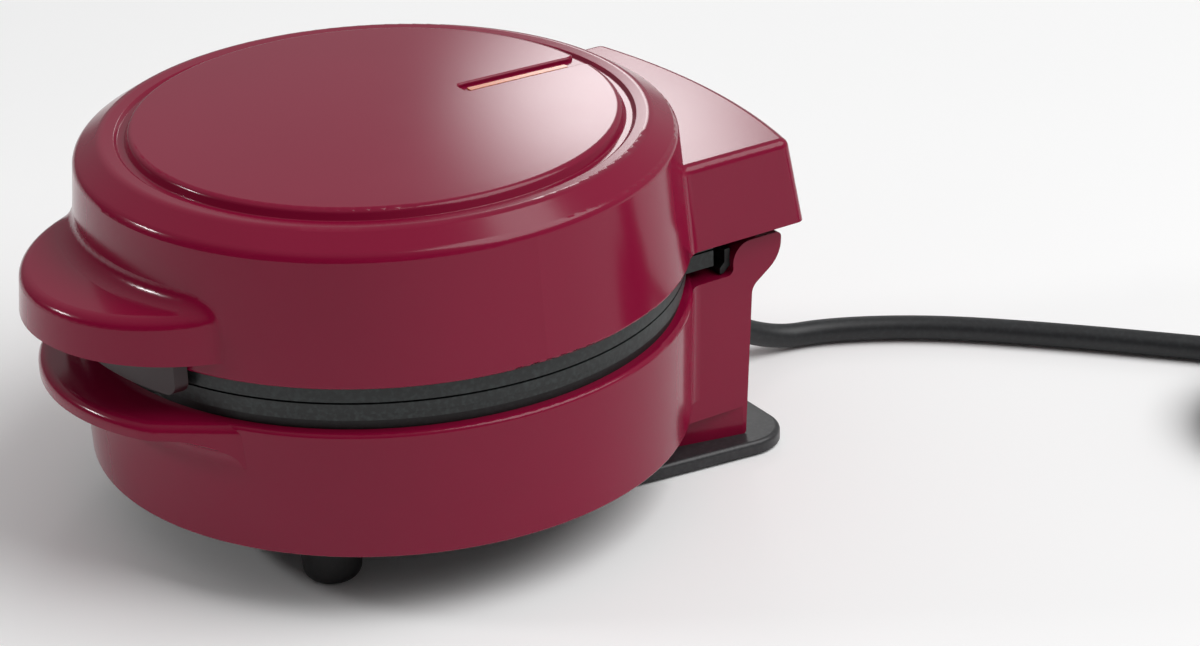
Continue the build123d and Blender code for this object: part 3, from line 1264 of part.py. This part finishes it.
def coil_point(centre, angle0, turns):
    """Point and direction on the coil after so many turns, clockwise from above."""
    pitch = 2 * CORD_R + COIL_GAP
    total = 2 * COIL_TURNS + 0.5
    half = COIL_TURNS
    if turns <= half:
        radius = COIL_OUTER_R - pitch * turns
        climb = 0.0
        rate = -pitch
        rise = 0.0
    elif turns < half + 0.5:
        share = (turns - half) / 0.5
        radius = COIL_OUTER_R - pitch * half
        climb = pitch * (1 - cos(pi * share)) / 2
        rate = 0.0
        rise = pitch * pi * sin(pi * share)
    else:
        radius = COIL_OUTER_R - pitch * half + pitch * (turns - half - 0.5)
        climb = pitch
        rate = pitch
        rise = 0.0
    angle = angle0 - 2 * pi * turns
    outward = Vector(cos(angle), sin(angle), 0)
    along = Vector(sin(angle), -cos(angle), 0)
    point = centre + outward * radius + Vector(0, 0, climb)
    direction = along * (2 * pi * radius) + outward * rate + Vector(0, 0, rise)
    return point, direction.normalized(), total


def cord_coil():
    """Put-away coil of the cord: in on the table, up a layer and out again to the plug."""
    end, heading, start, centre = coil_frame()
    angle0 = atan2(start.Y - centre.Y, start.X - centre.X)
    edges = [Line(end, start)]
    point = start
    direction = heading
    total = 2 * COIL_TURNS + 0.5
    steps = int(round(total * 4))
    for step in range(1, steps + 1):
        target, heading_to, _ = coil_point(centre, angle0, step / 4)
        if step == steps:
            pitch_up = radians(PLUG_PITCH)
            flat = Vector(heading_to.X, heading_to.Y, 0).normalized()
            heading_to = flat * cos(pitch_up) + Vector(0, 0, sin(pitch_up))
        edges += biarc(point, direction, target, heading_to)
        point = target
        direction = heading_to
    tip = point + direction * PLUG_RUN
    edges.append(Line(point, tip))
    wire = Wire(edges)
    tube = sweep(Plane(origin=wire @ 0, z_dir=wire % 0) * Circle(CORD_R), path=wire)
    print(f"coil {wire.length:.1f} mm, tube {tube.volume:.0f},"
          f" section times length {pi * CORD_R ** 2 * wire.length:.0f} mm3,"
          f" least gap to itself {least_gap(wire):.2f} mm")
    return tube, tip, direction


def least_gap(wire):
    """Least gap of the tube to itself, between points more than half a turn apart."""
    count = 500
    points = [wire @ (i / count) for i in range(count + 1)]
    step = wire.length / count
    apart = int(pi * 2 * CORD_R / step) + 1
    least = 1e9
    for i in range(count + 1):
        for j in range(i + apart, count + 1):
            least = min(least, (points[i] - points[j]).length)
    return least - 2 * CORD_R


def plug(tip, direction):
    """Plug body and its two pins, in line with the end of the coil."""
    body_outline = FilletPolyline(
        (0, 0), (PLUG_SLEEVE_R, 0), (PLUG_SLEEVE_R + 0.8, PLUG_SLEEVE_L),
        (PLUG_GRIP_R, PLUG_SLEEVE_L + 4), (PLUG_GRIP_R, PLUG_SLEEVE_L + PLUG_GRIP_L),
        (PLUG_R, PLUG_SLEEVE_L + PLUG_GRIP_L + 3),
        (PLUG_R, PLUG_SLEEVE_L + PLUG_GRIP_L + PLUG_FACE_L),
        (0, PLUG_SLEEVE_L + PLUG_GRIP_L + PLUG_FACE_L),
        radius=[0.5, 1.0, 1.5, 2.0, 1.5, 1.0])
    face_z = PLUG_SLEEVE_L + PLUG_GRIP_L + PLUG_FACE_L
    body = turned(*body_outline.edges(), Line((0, face_z), (0, 0)))
    pins = []
    for x in (-PLUG_PIN_SPACING / 2, PLUG_PIN_SPACING / 2):
        pin = rod(x, 0, face_z, face_z + PLUG_PIN_L, PLUG_PIN_R)
        pins.append(fillet(pin.edges().group_by(Axis.Z)[-1], 1.5))
    across = Vector(direction.Y, -direction.X, 0).normalized()
    place = Plane(origin=tip, x_dir=across, z_dir=direction).location
    return place * body, Compound(children=[place * pin for pin in pins])


def main():
    """Write every sub-part."""
    export("lid_shell", lid_shell())
    export("handle_cover", handle_cover())
    export("handle_screws", handle_screws())
    export("lens_strip", lens_strip())
    export("pilot_lamp", pilot_lamp())
    export("lamp_holder", lamp_holder())
    export("lid_frame", lid_frame())
    export("lid_frame_screws", lid_frame_screws())
    export("upper_plate", upper_plate())
    export("upper_plate_screws", upper_plate_screws())
    export("upper_heater", heater(UPPER_BACK_Z + TUBE_R + SNUG, 1))
    export("upper_reflector", reflector(UPPER_REFLECTOR_Z))
    export("upper_reflector_screws", reflector_screws(UPPER_REFLECTOR_Z + REFLECTOR_T, -1))
    export("thermal_fuse", thermal_fuse())
    export("fuse_clip", fuse_clip())
    export("base_shell", base_shell())
    export("hinge_shield", hinge_shield())
    export("lower_frame", lower_frame())
    export("lower_frame_screws", lower_frame_screws())
    export("lower_plate", lower_plate())
    export("lower_plate_screws", lower_plate_screws())
    export("lower_heater", heater(LOWER_BACK_Z - TUBE_R - SNUG, -1))
    export("lower_reflector", lower_reflector())
    export("lower_reflector_screws", reflector_screws(LOWER_REFLECTOR_Z, 1))
    export("thermostat", thermostat())
    export("thermostat_rivets", thermostat_rivets())
    export("bottom_cover", bottom_cover())
    export("cover_screws", cover_screws())
    export("front_foot_left", front_foot(-FRONT_FOOT_X))
    export("front_foot_right", front_foot(FRONT_FOOT_X))
    export("rear_flange", rear_flange())
    export("flange_screws", flange_screws())
    export("flange_pads", flange_pads())
    export("hinge_pin", hinge_pin())
    export("pin_cap", pin_cap())
    export("terminal_block", terminal_block())
    export("terminal_screws", terminal_screws())
    export("cord_bush", cord_bush())
    export("cord_clamp", cord_clamp())
    export("clamp_screws", clamp_screws())
    export("base_lead", base_lead())
    export("lid_lead", lid_lead())
    export("power_cord", power_cord())
    tube, tip, direction = cord_coil()
    export("cord_coil", tube)
    body, pins = plug(tip, direction)
    export("plug_body", body)
    export("plug_pins", pins)


main()
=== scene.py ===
# %% [markdown]
# A mini waffle maker, closed, on a white table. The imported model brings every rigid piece; this
# script adds the camera, the mains lead as a real curve, the finishes and the light. Loading comes
# first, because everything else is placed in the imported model's frame: metres, +Z up, the handle
# towards -Y and the hinge towards +Y.

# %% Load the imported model
import json
import math

import bmesh
import bpy
from mathutils import Matrix, Vector


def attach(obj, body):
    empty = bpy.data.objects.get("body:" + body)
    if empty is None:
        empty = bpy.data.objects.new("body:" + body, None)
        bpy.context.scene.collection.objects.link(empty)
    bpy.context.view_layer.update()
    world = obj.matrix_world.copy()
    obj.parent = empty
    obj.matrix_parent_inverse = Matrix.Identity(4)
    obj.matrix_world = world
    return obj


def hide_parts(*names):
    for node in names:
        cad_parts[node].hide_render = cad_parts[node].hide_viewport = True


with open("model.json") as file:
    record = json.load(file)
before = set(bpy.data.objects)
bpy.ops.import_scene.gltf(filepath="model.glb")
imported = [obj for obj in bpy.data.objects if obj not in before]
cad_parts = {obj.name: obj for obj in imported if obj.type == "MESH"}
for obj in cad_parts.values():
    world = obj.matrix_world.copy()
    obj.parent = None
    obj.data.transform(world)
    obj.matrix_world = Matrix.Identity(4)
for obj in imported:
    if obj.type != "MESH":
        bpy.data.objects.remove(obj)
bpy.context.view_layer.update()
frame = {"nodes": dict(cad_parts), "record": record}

nodes = frame["nodes"]

# %% [markdown]
# The camera stands to the right of the handle and looks down by about 25 degrees. It is far away
# with a long lens, which keeps the round lid from bulging. Two of its own directions, right and up,
# are given, and the third follows from them, so its small roll is kept too.

# %% Camera
CAMERA_AT = Vector((0.65537, -0.35346, 0.39140))
CAMERA_RIGHT = Vector((0.54434, 0.83839, -0.02808))
CAMERA_UP = Vector((-0.34493, 0.25421, 0.90355))
CAMERA_LENS = 96.0
SENSOR_WIDTH = 36.0


def add_camera():
    """Camera with the place, direction and roll given above."""
    lens = bpy.data.cameras.new("table_camera")
    lens.lens = CAMERA_LENS
    lens.sensor_width = SENSOR_WIDTH
    lens.clip_start = 0.01
    camera = bpy.data.objects.new("table_camera", lens)
    back = CAMERA_RIGHT.cross(CAMERA_UP).normalized()
    up = back.cross(CAMERA_RIGHT).normalized()
    camera.matrix_world = Matrix((
        (CAMERA_RIGHT.x, up.x, back.x, CAMERA_AT.x),
        (CAMERA_RIGHT.y, up.y, back.y, CAMERA_AT.y),
        (CAMERA_RIGHT.z, up.z, back.z, CAMERA_AT.z),
        (0.0, 0.0, 0.0, 1.0)))
    bpy.context.scene.collection.objects.link(camera)
    bpy.context.scene.camera = camera
    return camera


add_camera()
print("camera at", tuple(CAMERA_AT))

# %% [markdown]
# Small helpers for finishes. Colours are written as sRGB hex, as a paint card gives them, and one
# function turns them into the linear values that a shader wants. A second function adds a node,
# sets its sockets and joins it to others, so that each finish reads as a short list of steps.

# %% Helpers for finishes
MM = 0.001


def linear(hex_colour):
    """Linear RGBA of an sRGB hex colour."""
    parts = [int(hex_colour[i:i + 2], 16) / 255 for i in (1, 3, 5)]
    return [c / 12.92 if c <= 0.04045 else ((c + 0.055) / 1.055) ** 2.4 for c in parts] + [1.0]


def node(tree, kind, values=None, links=None, **settings):
    """Add a node with its settings, socket values and incoming links."""
    new = tree.nodes.new(kind)
    for name, value in settings.items():
        setattr(new, name, value)
    for socket, value in (values or {}).items():
        new.inputs[socket].default_value = value
    for socket, source in (links or {}).items():
        tree.links.new(source, new.inputs[socket])
    return new


def finish_named(name):
    """New material without nodes, and its node tree."""
    material = bpy.data.materials.new(name)
    material.use_nodes = True
    material.node_tree.nodes.clear()
    return material, material.node_tree


def object_place(tree):
    """Coordinates that stay on the piece: its own, in metres."""
    return node(tree, "ShaderNodeTexCoord").outputs["Object"]


def surface(tree, shader):
    """Join a shader to the material's output."""
    node(tree, "ShaderNodeOutputMaterial", links={"Surface": shader.outputs[0]})


# %% [markdown]
# The lead is a three-core cable with a soft dark grey rubber sheath. It leaves the back of the
# hinge post, drops to the table, swings to the right and runs out of the picture; the rest is
# put away in a flat coil of two layers with the plug beside it. It is one NURBS curve with a round
# bevel: few points, listed where the cable turns, give a line as smooth as real cable. The
# points of the coil come from a loop.

# %% Mains lead
CORD_R = 3.4 * MM
FREE_ROUTE = [
    (0.0, 0.0678, 0.0145),
    (0.0, 0.0978, 0.0145),
    (-0.0010, 0.1173, 0.0035),
    (0.0035, 0.1343, 0.0035),
    (0.0190, 0.1583, 0.0035),
    (0.0450, 0.1838, 0.0035),
    (0.0760, 0.2110, 0.0035),
    (0.1010, 0.2323, 0.0035),
]
COIL_OUTER = 35.0 * MM
COIL_PITCH = 8.4 * MM
COIL_HALF_TURNS = 1.75
COIL_POINTS_A_TURN = 16
CLIMB_TURNS = 0.5
PLUG_RUN = 7.0 * MM
PLUG_RISE = math.radians(8.0)


def coil_points():
    """Control points of the coil: inward below, up to the second layer, outward, then to the plug."""
    end = Vector(FREE_ROUTE[-1])
    heading = (end - Vector(FREE_ROUTE[-2])).normalized()
    start = end + heading * 2 * CORD_R
    centre = start + Vector((heading.y, -heading.x, 0.0)) * COIL_OUTER
    first = math.atan2(start.y - centre.y, start.x - centre.x)
    turns = 2 * COIL_HALF_TURNS + CLIMB_TURNS
    count = int(turns * COIL_POINTS_A_TURN)
    # A curve of this order runs inside its control points, so they stand out by this factor.
    swell = 1.0 / (0.75 + 0.25 * math.cos(2 * math.pi / COIL_POINTS_A_TURN))
    points = []
    for step in range(count + 1):
        turn = step / COIL_POINTS_A_TURN
        inward = min(turn, COIL_HALF_TURNS)
        outward = max(0.0, turn - COIL_HALF_TURNS - CLIMB_TURNS)
        climb = min(1.0, max(0.0, (turn - COIL_HALF_TURNS) / CLIMB_TURNS))
        radius = (COIL_OUTER - COIL_PITCH * (inward - outward)) * swell
        height = COIL_PITCH * (1 - math.cos(math.pi * climb)) / 2
        angle = first - 2 * math.pi * turn
        points.append(centre + Vector((radius * math.cos(angle), radius * math.sin(angle), height)))
    last = first - 2 * math.pi * turns
    one_turn = 2 * math.pi * COIL_OUTER
    along = Vector((one_turn * math.sin(last), -one_turn * math.cos(last), 0))
    out = Vector((math.cos(last), math.sin(last), 0)) * COIL_PITCH
    flat = (along + out).normalized()
    direction = flat * math.cos(PLUG_RISE) + Vector((0, 0, math.sin(PLUG_RISE)))
    tip = centre + Vector((COIL_OUTER * math.cos(last), COIL_OUTER * math.sin(last), COIL_PITCH))
    points[-1] = tip
    points.append(tip + direction * PLUG_RUN)
    return points


def round_curve(name, points, radius):
    """NURBS curve drawn to its points, with a round section given by each point's own radius."""
    curve = bpy.data.curves.new(name, "CURVE")
    curve.dimensions = "3D"
    spline = curve.splines.new("NURBS")
    spline.points.add(len(points) - 1)
    for slot, point in zip(spline.points, points):
        slot.co = (point[0], point[1], point[2], 1.0)
        slot.radius = radius
    spline.order_u = 3
    spline.use_endpoint_u = True
    spline.resolution_u = 12
    curve.bevel_depth = 1.0
    curve.bevel_resolution = 7
    curve.use_fill_caps = True
    piece = bpy.data.objects.new(name, curve)
    bpy.context.scene.collection.objects.link(piece)
    return piece


lead = round_curve("mains_lead", FREE_ROUTE + coil_points(), CORD_R)
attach(lead, "base")
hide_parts("power_cord", "cord_coil")
print("lead points:", len(lead.data.splines[0].points))

# %% [markdown]
# Where the lead leaves the post, a soft rubber sleeve keeps it from kinking. On the real thing it is
# moulded with a row of slots so that it bends a little at each one. Here rings of points are set
# along the lead's own line and bridged. Two of every four are drawn in, and the sleeve tapers.

# %% Strain relief
RELIEF_LENGTH = 24.0 * MM
RELIEF_ROOT_R = 6.4 * MM
RELIEF_TIP_R = 4.5 * MM
RELIEF_STEPS = 24
RELIEF_PLAIN_STEPS = 3
RELIEF_SLOT_DEPTH = 0.7 * MM
RELIEF_SEGMENTS = 32
POST_WALL_Y = 78.2 * MM


def centre_line(piece):
    """Points of a curve's own line, without its bevel."""
    depth = piece.data.bevel_depth
    piece.data.bevel_depth = 0.0
    bpy.context.view_layer.update()
    line = bpy.data.meshes.new_from_object(piece.evaluated_get(bpy.context.evaluated_depsgraph_get()))
    piece.data.bevel_depth = depth
    points = [v.co.copy() for v in line.vertices]
    bpy.data.meshes.remove(line)
    return points


def point_after(points, start_y, distance):
    """Point and direction at a distance along a line, measured from where it passes start_y."""
    walked = 0.0
    for before, after in zip(points, points[1:]):
        if after.y <= start_y:
            continue
        step = (after - before).length
        if walked + step >= distance:
            return before.lerp(after, (distance - walked) / step), (after - before).normalized()
        walked += step
    return points[-1], (points[-1] - points[-2]).normalized()


def mesh_piece(name, mesh_bm, smooth_angle=35.0):
    """Object at the origin from a bmesh, smooth but for its sharp edges."""
    bmesh.ops.recalc_face_normals(mesh_bm, faces=mesh_bm.faces)
    mesh = bpy.data.meshes.new(name)
    mesh_bm.to_mesh(mesh)
    mesh_bm.free()
    for polygon in mesh.polygons:
        polygon.use_smooth = True
    mesh.set_sharp_from_angle(angle=math.radians(smooth_angle))
    piece = bpy.data.objects.new(name, mesh)
    bpy.context.scene.collection.objects.link(piece)
    return piece


def add_relief():
    """Slotted, tapered sleeve round the first stretch of the lead."""
    line = centre_line(lead)
    bm = bmesh.new()
    rings = []
    for i in range(RELIEF_STEPS + 1):
        share = i / RELIEF_STEPS
        at, along = point_after(line, POST_WALL_Y, RELIEF_LENGTH * share)
        radius = RELIEF_ROOT_R + (RELIEF_TIP_R - RELIEF_ROOT_R) * share
        if RELIEF_PLAIN_STEPS < i < RELIEF_STEPS and i % 4 in (0, 1):
            radius -= RELIEF_SLOT_DEPTH
        turn = along.to_track_quat("Z", "Y").to_matrix().to_4x4()
        made = bmesh.ops.create_circle(bm, cap_ends=False, segments=RELIEF_SEGMENTS, radius=radius,
                                       matrix=Matrix.Translation(at) @ turn)
        rings.append(made["verts"])
    for i in range(RELIEF_STEPS):
        low = [e for v in rings[i] for e in v.link_edges if e.other_vert(v) in rings[i]]
        high = [e for v in rings[i + 1] for e in v.link_edges if e.other_vert(v) in rings[i + 1]]
        bmesh.ops.bridge_loops(bm, edges=list(set(low + high)))
    ends = [e for e in bm.edges if e.is_boundary]
    bmesh.ops.holes_fill(bm, edges=ends, sides=0)
    return mesh_piece("strain_relief", bm)


relief = add_relief()
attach(relief, "base")
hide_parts("cord_bush")

print("strain relief:", len(relief.data.vertices), "vertices")

# %% [markdown]
# The shells are glossy injection-moulded plastic in a deep raspberry red. Moulded gloss is never
# quite flat: the melt leaves a faint orange-peel that breaks up the edge of a bright reflection.
# One noise texture gives a very small bump at that size, and another, about 45 mm wide, varies the
# gloss and the tone a little. The mirror share is set low, so that the front keeps its deep colour.
# The guard under the handle is a duller dark red with a fine matt grain. Its colour is drawn darker
# still: painted shade for the shade under the handle.

# %% Raspberry shells
def gloss_shell():
    """Deep red glossy ABS with faint orange peel."""
    material, tree = finish_named("raspberry_gloss_abs")
    place = object_place(tree)
    peel = node(tree, "ShaderNodeTexNoise", {"Scale": 1 / (1.6 * MM), "Detail": 2.0},
                {"Vector": place})
    wide = node(tree, "ShaderNodeTexNoise", {"Scale": 1 / (45 * MM), "Detail": 3.0},
                {"Vector": place})
    bump = node(tree, "ShaderNodeBump", {"Strength": 0.05, "Distance": 0.15 * MM},
                {"Height": peel.outputs["Fac"]})
    gloss = node(tree, "ShaderNodeMapRange", {"To Min": 0.13, "To Max": 0.19},
                 {"Value": wide.outputs["Fac"]})
    tone = node(tree, "ShaderNodeMixRGB", {"Color1": linear("#7C082E"), "Color2": linear("#840B33")},
                {"Fac": wide.outputs["Fac"]})
    shader = node(tree, "ShaderNodeBsdfPrincipled", {"IOR": 1.5, "Specular IOR Level": 0.28},
                  {"Base Color": tone.outputs[0], "Roughness": gloss.outputs[0],
                   "Normal": bump.outputs[0]})
    surface(tree, shader)
    return material


def guard_plastic():
    """Heat-resistant dark red moulding with a fine matt grain, drawn darker as painted shade."""
    material, tree = finish_named("dark_red_pbt_with_painted_shade")
    grain = node(tree, "ShaderNodeTexNoise", {"Scale": 1 / (0.8 * MM), "Detail": 2.0},
                 {"Vector": object_place(tree)})
    bump = node(tree, "ShaderNodeBump", {"Strength": 0.15, "Distance": 0.08 * MM},
                {"Height": grain.outputs["Fac"]})
    # These two reds are darker than the moulding's own colour: painted shade under the handle.
    tone = node(tree, "ShaderNodeMixRGB", {"Color1": linear("#24080F"), "Color2": linear("#2C0B13")},
                {"Fac": grain.outputs["Fac"]})
    shader = node(tree, "ShaderNodeBsdfPrincipled", {"IOR": 1.5, "Roughness": 0.42},
                  {"Base Color": tone.outputs[0], "Normal": bump.outputs[0]})
    surface(tree, shader)
    return material


# %% [markdown]
# The plates are cast aluminium under a dark non-stick coat. The coat is sprayed and baked, so it
# has a fine speckle and a soft sheen, and the cast edge under it is slightly uneven. The noise here
# is drawn a little coarser than the real grain so that it still shows at this distance. The same
# steps, with other sizes, give the grained mouldings, the rubber and the woven sleeve. Metals differ
# from them by a grain that can run along one axis: ground steel and rolled sheet show it as streaks.

# %% Coated plates, frames and dark plastics
def speckled(name, dark, light, roughness, grain_mm, depth_mm, speck_mm=1.2):
    """Dark finish with grain in its height and a finer speckle in its colour."""
    material, tree = finish_named(name)
    place = object_place(tree)
    grain = node(tree, "ShaderNodeTexNoise", {"Scale": 1 / (grain_mm * MM), "Detail": 3.0},
                 {"Vector": place})
    speck = node(tree, "ShaderNodeTexNoise", {"Scale": 1 / (speck_mm * MM), "Detail": 1.0},
                 {"Vector": place})
    bump = node(tree, "ShaderNodeBump", {"Strength": 0.3, "Distance": depth_mm * MM},
                {"Height": grain.outputs["Fac"]})
    ramp = node(tree, "ShaderNodeMapRange", {"From Min": 0.45, "From Max": 0.75},
                {"Value": speck.outputs["Fac"]})
    tone = node(tree, "ShaderNodeMixRGB", {"Color1": linear(dark), "Color2": linear(light)},
                {"Fac": ramp.outputs[0]})
    rough = node(tree, "ShaderNodeMapRange", {"To Min": roughness - 0.07, "To Max": roughness + 0.07},
                 {"Value": grain.outputs["Fac"]})
    shader = node(tree, "ShaderNodeBsdfPrincipled", {"IOR": 1.45},
                  {"Base Color": tone.outputs[0], "Roughness": rough.outputs[0],
                   "Normal": bump.outputs[0]})
    surface(tree, shader)
    return material


def metal(name, colour, roughness, grain_mm, stretch):
    """Bare metal with a grain that runs along one axis of the piece."""
    material, tree = finish_named(name)
    spread = node(tree, "ShaderNodeMapping", {"Scale": stretch}, {"Vector": object_place(tree)})
    grain = node(tree, "ShaderNodeTexNoise", {"Scale": 1 / (grain_mm * MM), "Detail": 3.0},
                 {"Vector": spread.outputs[0]})
    rough = node(tree, "ShaderNodeMapRange", {"To Min": roughness - 0.08, "To Max": roughness + 0.08},
                 {"Value": grain.outputs["Fac"]})
    bump = node(tree, "ShaderNodeBump", {"Strength": 0.1, "Distance": 0.05 * MM},
                {"Height": grain.outputs["Fac"]})
    shader = node(tree, "ShaderNodeBsdfPrincipled", {"Metallic": 1.0, "Base Color": linear(colour)},
                  {"Roughness": rough.outputs[0], "Normal": bump.outputs[0]})
    surface(tree, shader)
    return material


# %% [markdown]
# The pilot light shows through a thin strip of orange acrylic in the floor of its slot. The lamp
# behind it is off, so the strip only lets some light into itself: a tinted, slightly milky plastic.

# %% Orange lens and lamp
def orange_lens():
    """Tinted acrylic, faintly milky."""
    material, tree = finish_named("orange_tinted_acrylic")
    cloud = node(tree, "ShaderNodeTexNoise", {"Scale": 1 / (3 * MM), "Detail": 2.0},
                 {"Vector": object_place(tree)})
    tone = node(tree, "ShaderNodeMixRGB", {"Color1": linear("#D9642C"), "Color2": linear("#E27A3C")},
                {"Fac": cloud.outputs["Fac"]})
    shader = node(tree, "ShaderNodeBsdfPrincipled",
                  {"IOR": 1.49, "Roughness": 0.2, "Transmission Weight": 0.25},
                  {"Base Color": tone.outputs[0]})
    surface(tree, shader)
    return material


FINISHES = {
    "shell": gloss_shell(),
    "guard": guard_plastic(),
    "coating": speckled("non_stick_coated_casting", "#1B1E1E", "#2C3232", 0.42, 1.5, 0.10),
    "frame": speckled("black_glass_filled_pa", "#0E0E0F", "#18181A", 0.5, 1.0, 0.08),
    "flange": speckled("dark_grey_textured_abs", "#2A2A2C", "#343436", 0.38, 0.9, 0.06),
    "bottom": speckled("black_textured_pp", "#131314", "#1D1D1F", 0.55, 1.2, 0.12),
    "foot": speckled("black_rubber", "#0C0A0B", "#141112", 0.6, 0.8, 0.05),
    "cord": speckled("dark_grey_rubber_sheath", "#1E1F21", "#282A2C", 0.45, 1.2, 0.06),
    "plug": speckled("dark_grey_moulded_pvc", "#1B1C1E", "#242628", 0.4, 1.0, 0.05),
    "white": speckled("white_insulating_pa", "#CFCBC0", "#D8D4CA", 0.5, 1.0, 0.05),
    "sleeve": speckled("woven_glass_sleeve", "#8C877A", "#A9A495", 0.7, 0.6, 0.15, 0.7),
    "heater": metal("heat_stained_steel", "#7C6F66", 0.38, 0.6, (1.0, 1.0, 1.0)),
    "zinc": metal("zinc_plated_steel", "#B9BBBD", 0.32, 0.5, (1.0, 1.0, 1.0)),
    "steel": metal("ground_steel", "#C4C5C7", 0.22, 0.4, (0.05, 1.0, 1.0)),
    "sheet": metal("rolled_aluminium", "#D2D4D6", 0.3, 0.6, (0.04, 1.0, 1.0)),
    "pins": metal("nickel_plated_brass", "#CFC9BC", 0.2, 0.4, (1.0, 1.0, 1.0)),
    "lens": orange_lens(),
}
print("finishes:", len(FINISHES))

# %% [markdown]
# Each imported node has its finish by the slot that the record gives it. The mesh stays untouched: a
# finish is only put into the slots of its object.

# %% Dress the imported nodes
SLOT_FINISH = {
    "base_shell": "shell", "lid_shell": "shell", "guard": "guard", "lens": "lens", "lamp": "lens",
    "inner_plastic": "white", "frame": "frame", "plate_coating": "coating", "heater": "heater",
    "reflector": "sheet", "fuse": "white", "thermostat": "zinc", "bottom": "bottom",
    "foot_rubber": "foot", "flange": "flange", "pin_steel": "steel", "screws": "zinc",
    "bush": "plug", "lead": "sleeve", "cord": "cord", "plug": "plug", "plug_pins": "pins",
}
for entry in frame["record"]["subparts"]:
    dressed = nodes[entry["node"]]
    dressed.data.materials.clear()
    dressed.data.materials.append(FINISHES[SLOT_FINISH[entry["material_slot"]]])
lead.data.materials.append(FINISHES["cord"])
relief.data.materials.append(FINISHES["plug"])

# %% [markdown]
# The table is a wide, plain, near-white sheet. It is large enough that the camera sees nothing
# else, and it keeps the soft shadow that tells how the waffle maker stands on its feet.

# %% Table
TABLE_R = 6.0
TABLE_DROP = 0.2 * MM


def add_table():
    """Large round table top, a hair below z = 0 so that no face shares its plane."""
    bm = bmesh.new()
    bmesh.ops.create_circle(bm, cap_ends=True, segments=96, radius=TABLE_R)
    bmesh.ops.translate(bm, vec=(0.0, 0.0, -TABLE_DROP), verts=bm.verts)
    table = mesh_piece("table_top", bm)
    material, tree = finish_named("white_matt_board")
    paper = node(tree, "ShaderNodeTexNoise", {"Scale": 1 / 0.4, "Detail": 2.0},
                 {"Vector": object_place(tree)})
    tone = node(tree, "ShaderNodeMixRGB", {"Color1": linear("#F4F4F4"), "Color2": linear("#FAFAFA")},
                {"Fac": paper.outputs["Fac"]})
    shader = node(tree, "ShaderNodeBsdfPrincipled", {"Roughness": 0.9, "Specular IOR Level": 0.1},
                  {"Base Color": tone.outputs[0]})
    surface(tree, shader)
    table.data.materials.append(material)
    return table


add_table()

# %% [markdown]
# The light of a product studio. The key is a wide soft box behind and to the right: it lights the
# table and the right side, and throws the shadow to the front left. A second box low behind on the
# left is there to be mirrored in the right half of the lid. A narrow strip low on the front left
# draws the short light streaks on the rounded edges.

# %% Lights
AIM_HEIGHT = 0.08


def add_softbox(name, azimuth, elevation, distance, width, height, power):
    """Rectangular area light in a direction given in degrees, facing the waffle maker."""
    lamp = bpy.data.lights.new(name, "AREA")
    lamp.shape = "RECTANGLE"
    lamp.size = width
    lamp.size_y = height
    lamp.energy = power
    turn = math.radians(azimuth)
    rise = math.radians(elevation)
    towards = Vector((math.cos(rise) * math.cos(turn), math.cos(rise) * math.sin(turn), math.sin(rise)))
    box = bpy.data.objects.new(name, lamp)
    box.location = Vector((0.0, 0.0, AIM_HEIGHT)) + towards * distance
    box.rotation_euler = towards.to_track_quat("Z", "Y").to_euler()
    bpy.context.scene.collection.objects.link(box)
    return box


def fade_to_edges(box):
    """Make a soft box brightest in its middle, as its lamp behind the cloth does."""
    box.data.use_nodes = True
    tree = box.data.node_tree
    tree.nodes.clear()
    across = node(tree, "ShaderNodeNewGeometry").outputs["Parametric"]
    offset = node(tree, "ShaderNodeVectorMath", {1: (0.5, 0.5, 0.0)}, {0: across},
                  operation="SUBTRACT")
    flat = node(tree, "ShaderNodeVectorMath", {1: (1.0, 1.0, 0.0)}, {0: offset.outputs[0]},
                operation="MULTIPLY")
    reach = node(tree, "ShaderNodeVectorMath", links={0: flat.outputs[0]}, operation="LENGTH")
    glow = node(tree, "ShaderNodeMapRange",
                {"From Min": 0.5, "From Max": 0.05, "To Min": 0.0, "To Max": 1.0},
                {"Value": reach.outputs["Value"]}, interpolation_type="SMOOTHSTEP")
    emission = node(tree, "ShaderNodeEmission", links={"Strength": glow.outputs[0]})
    node(tree, "ShaderNodeOutputLight", links={"Surface": emission.outputs[0]})


add_softbox("key_softbox", 42.0, 52.0, 1.7, 1.5, 1.3, 24.0)
fade_to_edges(add_softbox("lid_softbox", 142.4, 22.5, 0.81, 0.22, 0.22, 1.1))
add_softbox("edge_strip", -122.0, 22.0, 0.9, 0.15, 0.03, 1.5)

# %% [markdown]
# Glossy plastic is as dark as what it mirrors, so the surround isn't even: it is pale above and
# behind, and falls off towards the front, where the shells turn away from the key.

# %% Surround
SURROUND_BRIGHT = (-0.15, 0.45, 0.88)


def add_surround():
    """Pale studio surround that falls off towards the front."""
    world = bpy.data.worlds.new("studio_surround")
    world.use_nodes = True
    tree = world.node_tree
    tree.nodes.clear()
    direction = node(tree, "ShaderNodeTexCoord").outputs["Generated"]
    share = node(tree, "ShaderNodeVectorMath", {1: SURROUND_BRIGHT}, {0: direction},
                 operation="DOT_PRODUCT")
    strength = node(tree, "ShaderNodeMapRange",
                    {"From Min": -0.1, "From Max": 0.6, "To Min": 0.05, "To Max": 0.46},
                    {"Value": share.outputs["Value"]})
    glow = node(tree, "ShaderNodeBackground", {"Color": linear("#FFFFFF")},
                {"Strength": strength.outputs[0]})
    node(tree, "ShaderNodeOutputWorld", links={"Surface": glow.outputs[0]})
    bpy.context.scene.world = world


add_surround()
bpy.context.scene.view_settings.view_transform = "Standard"
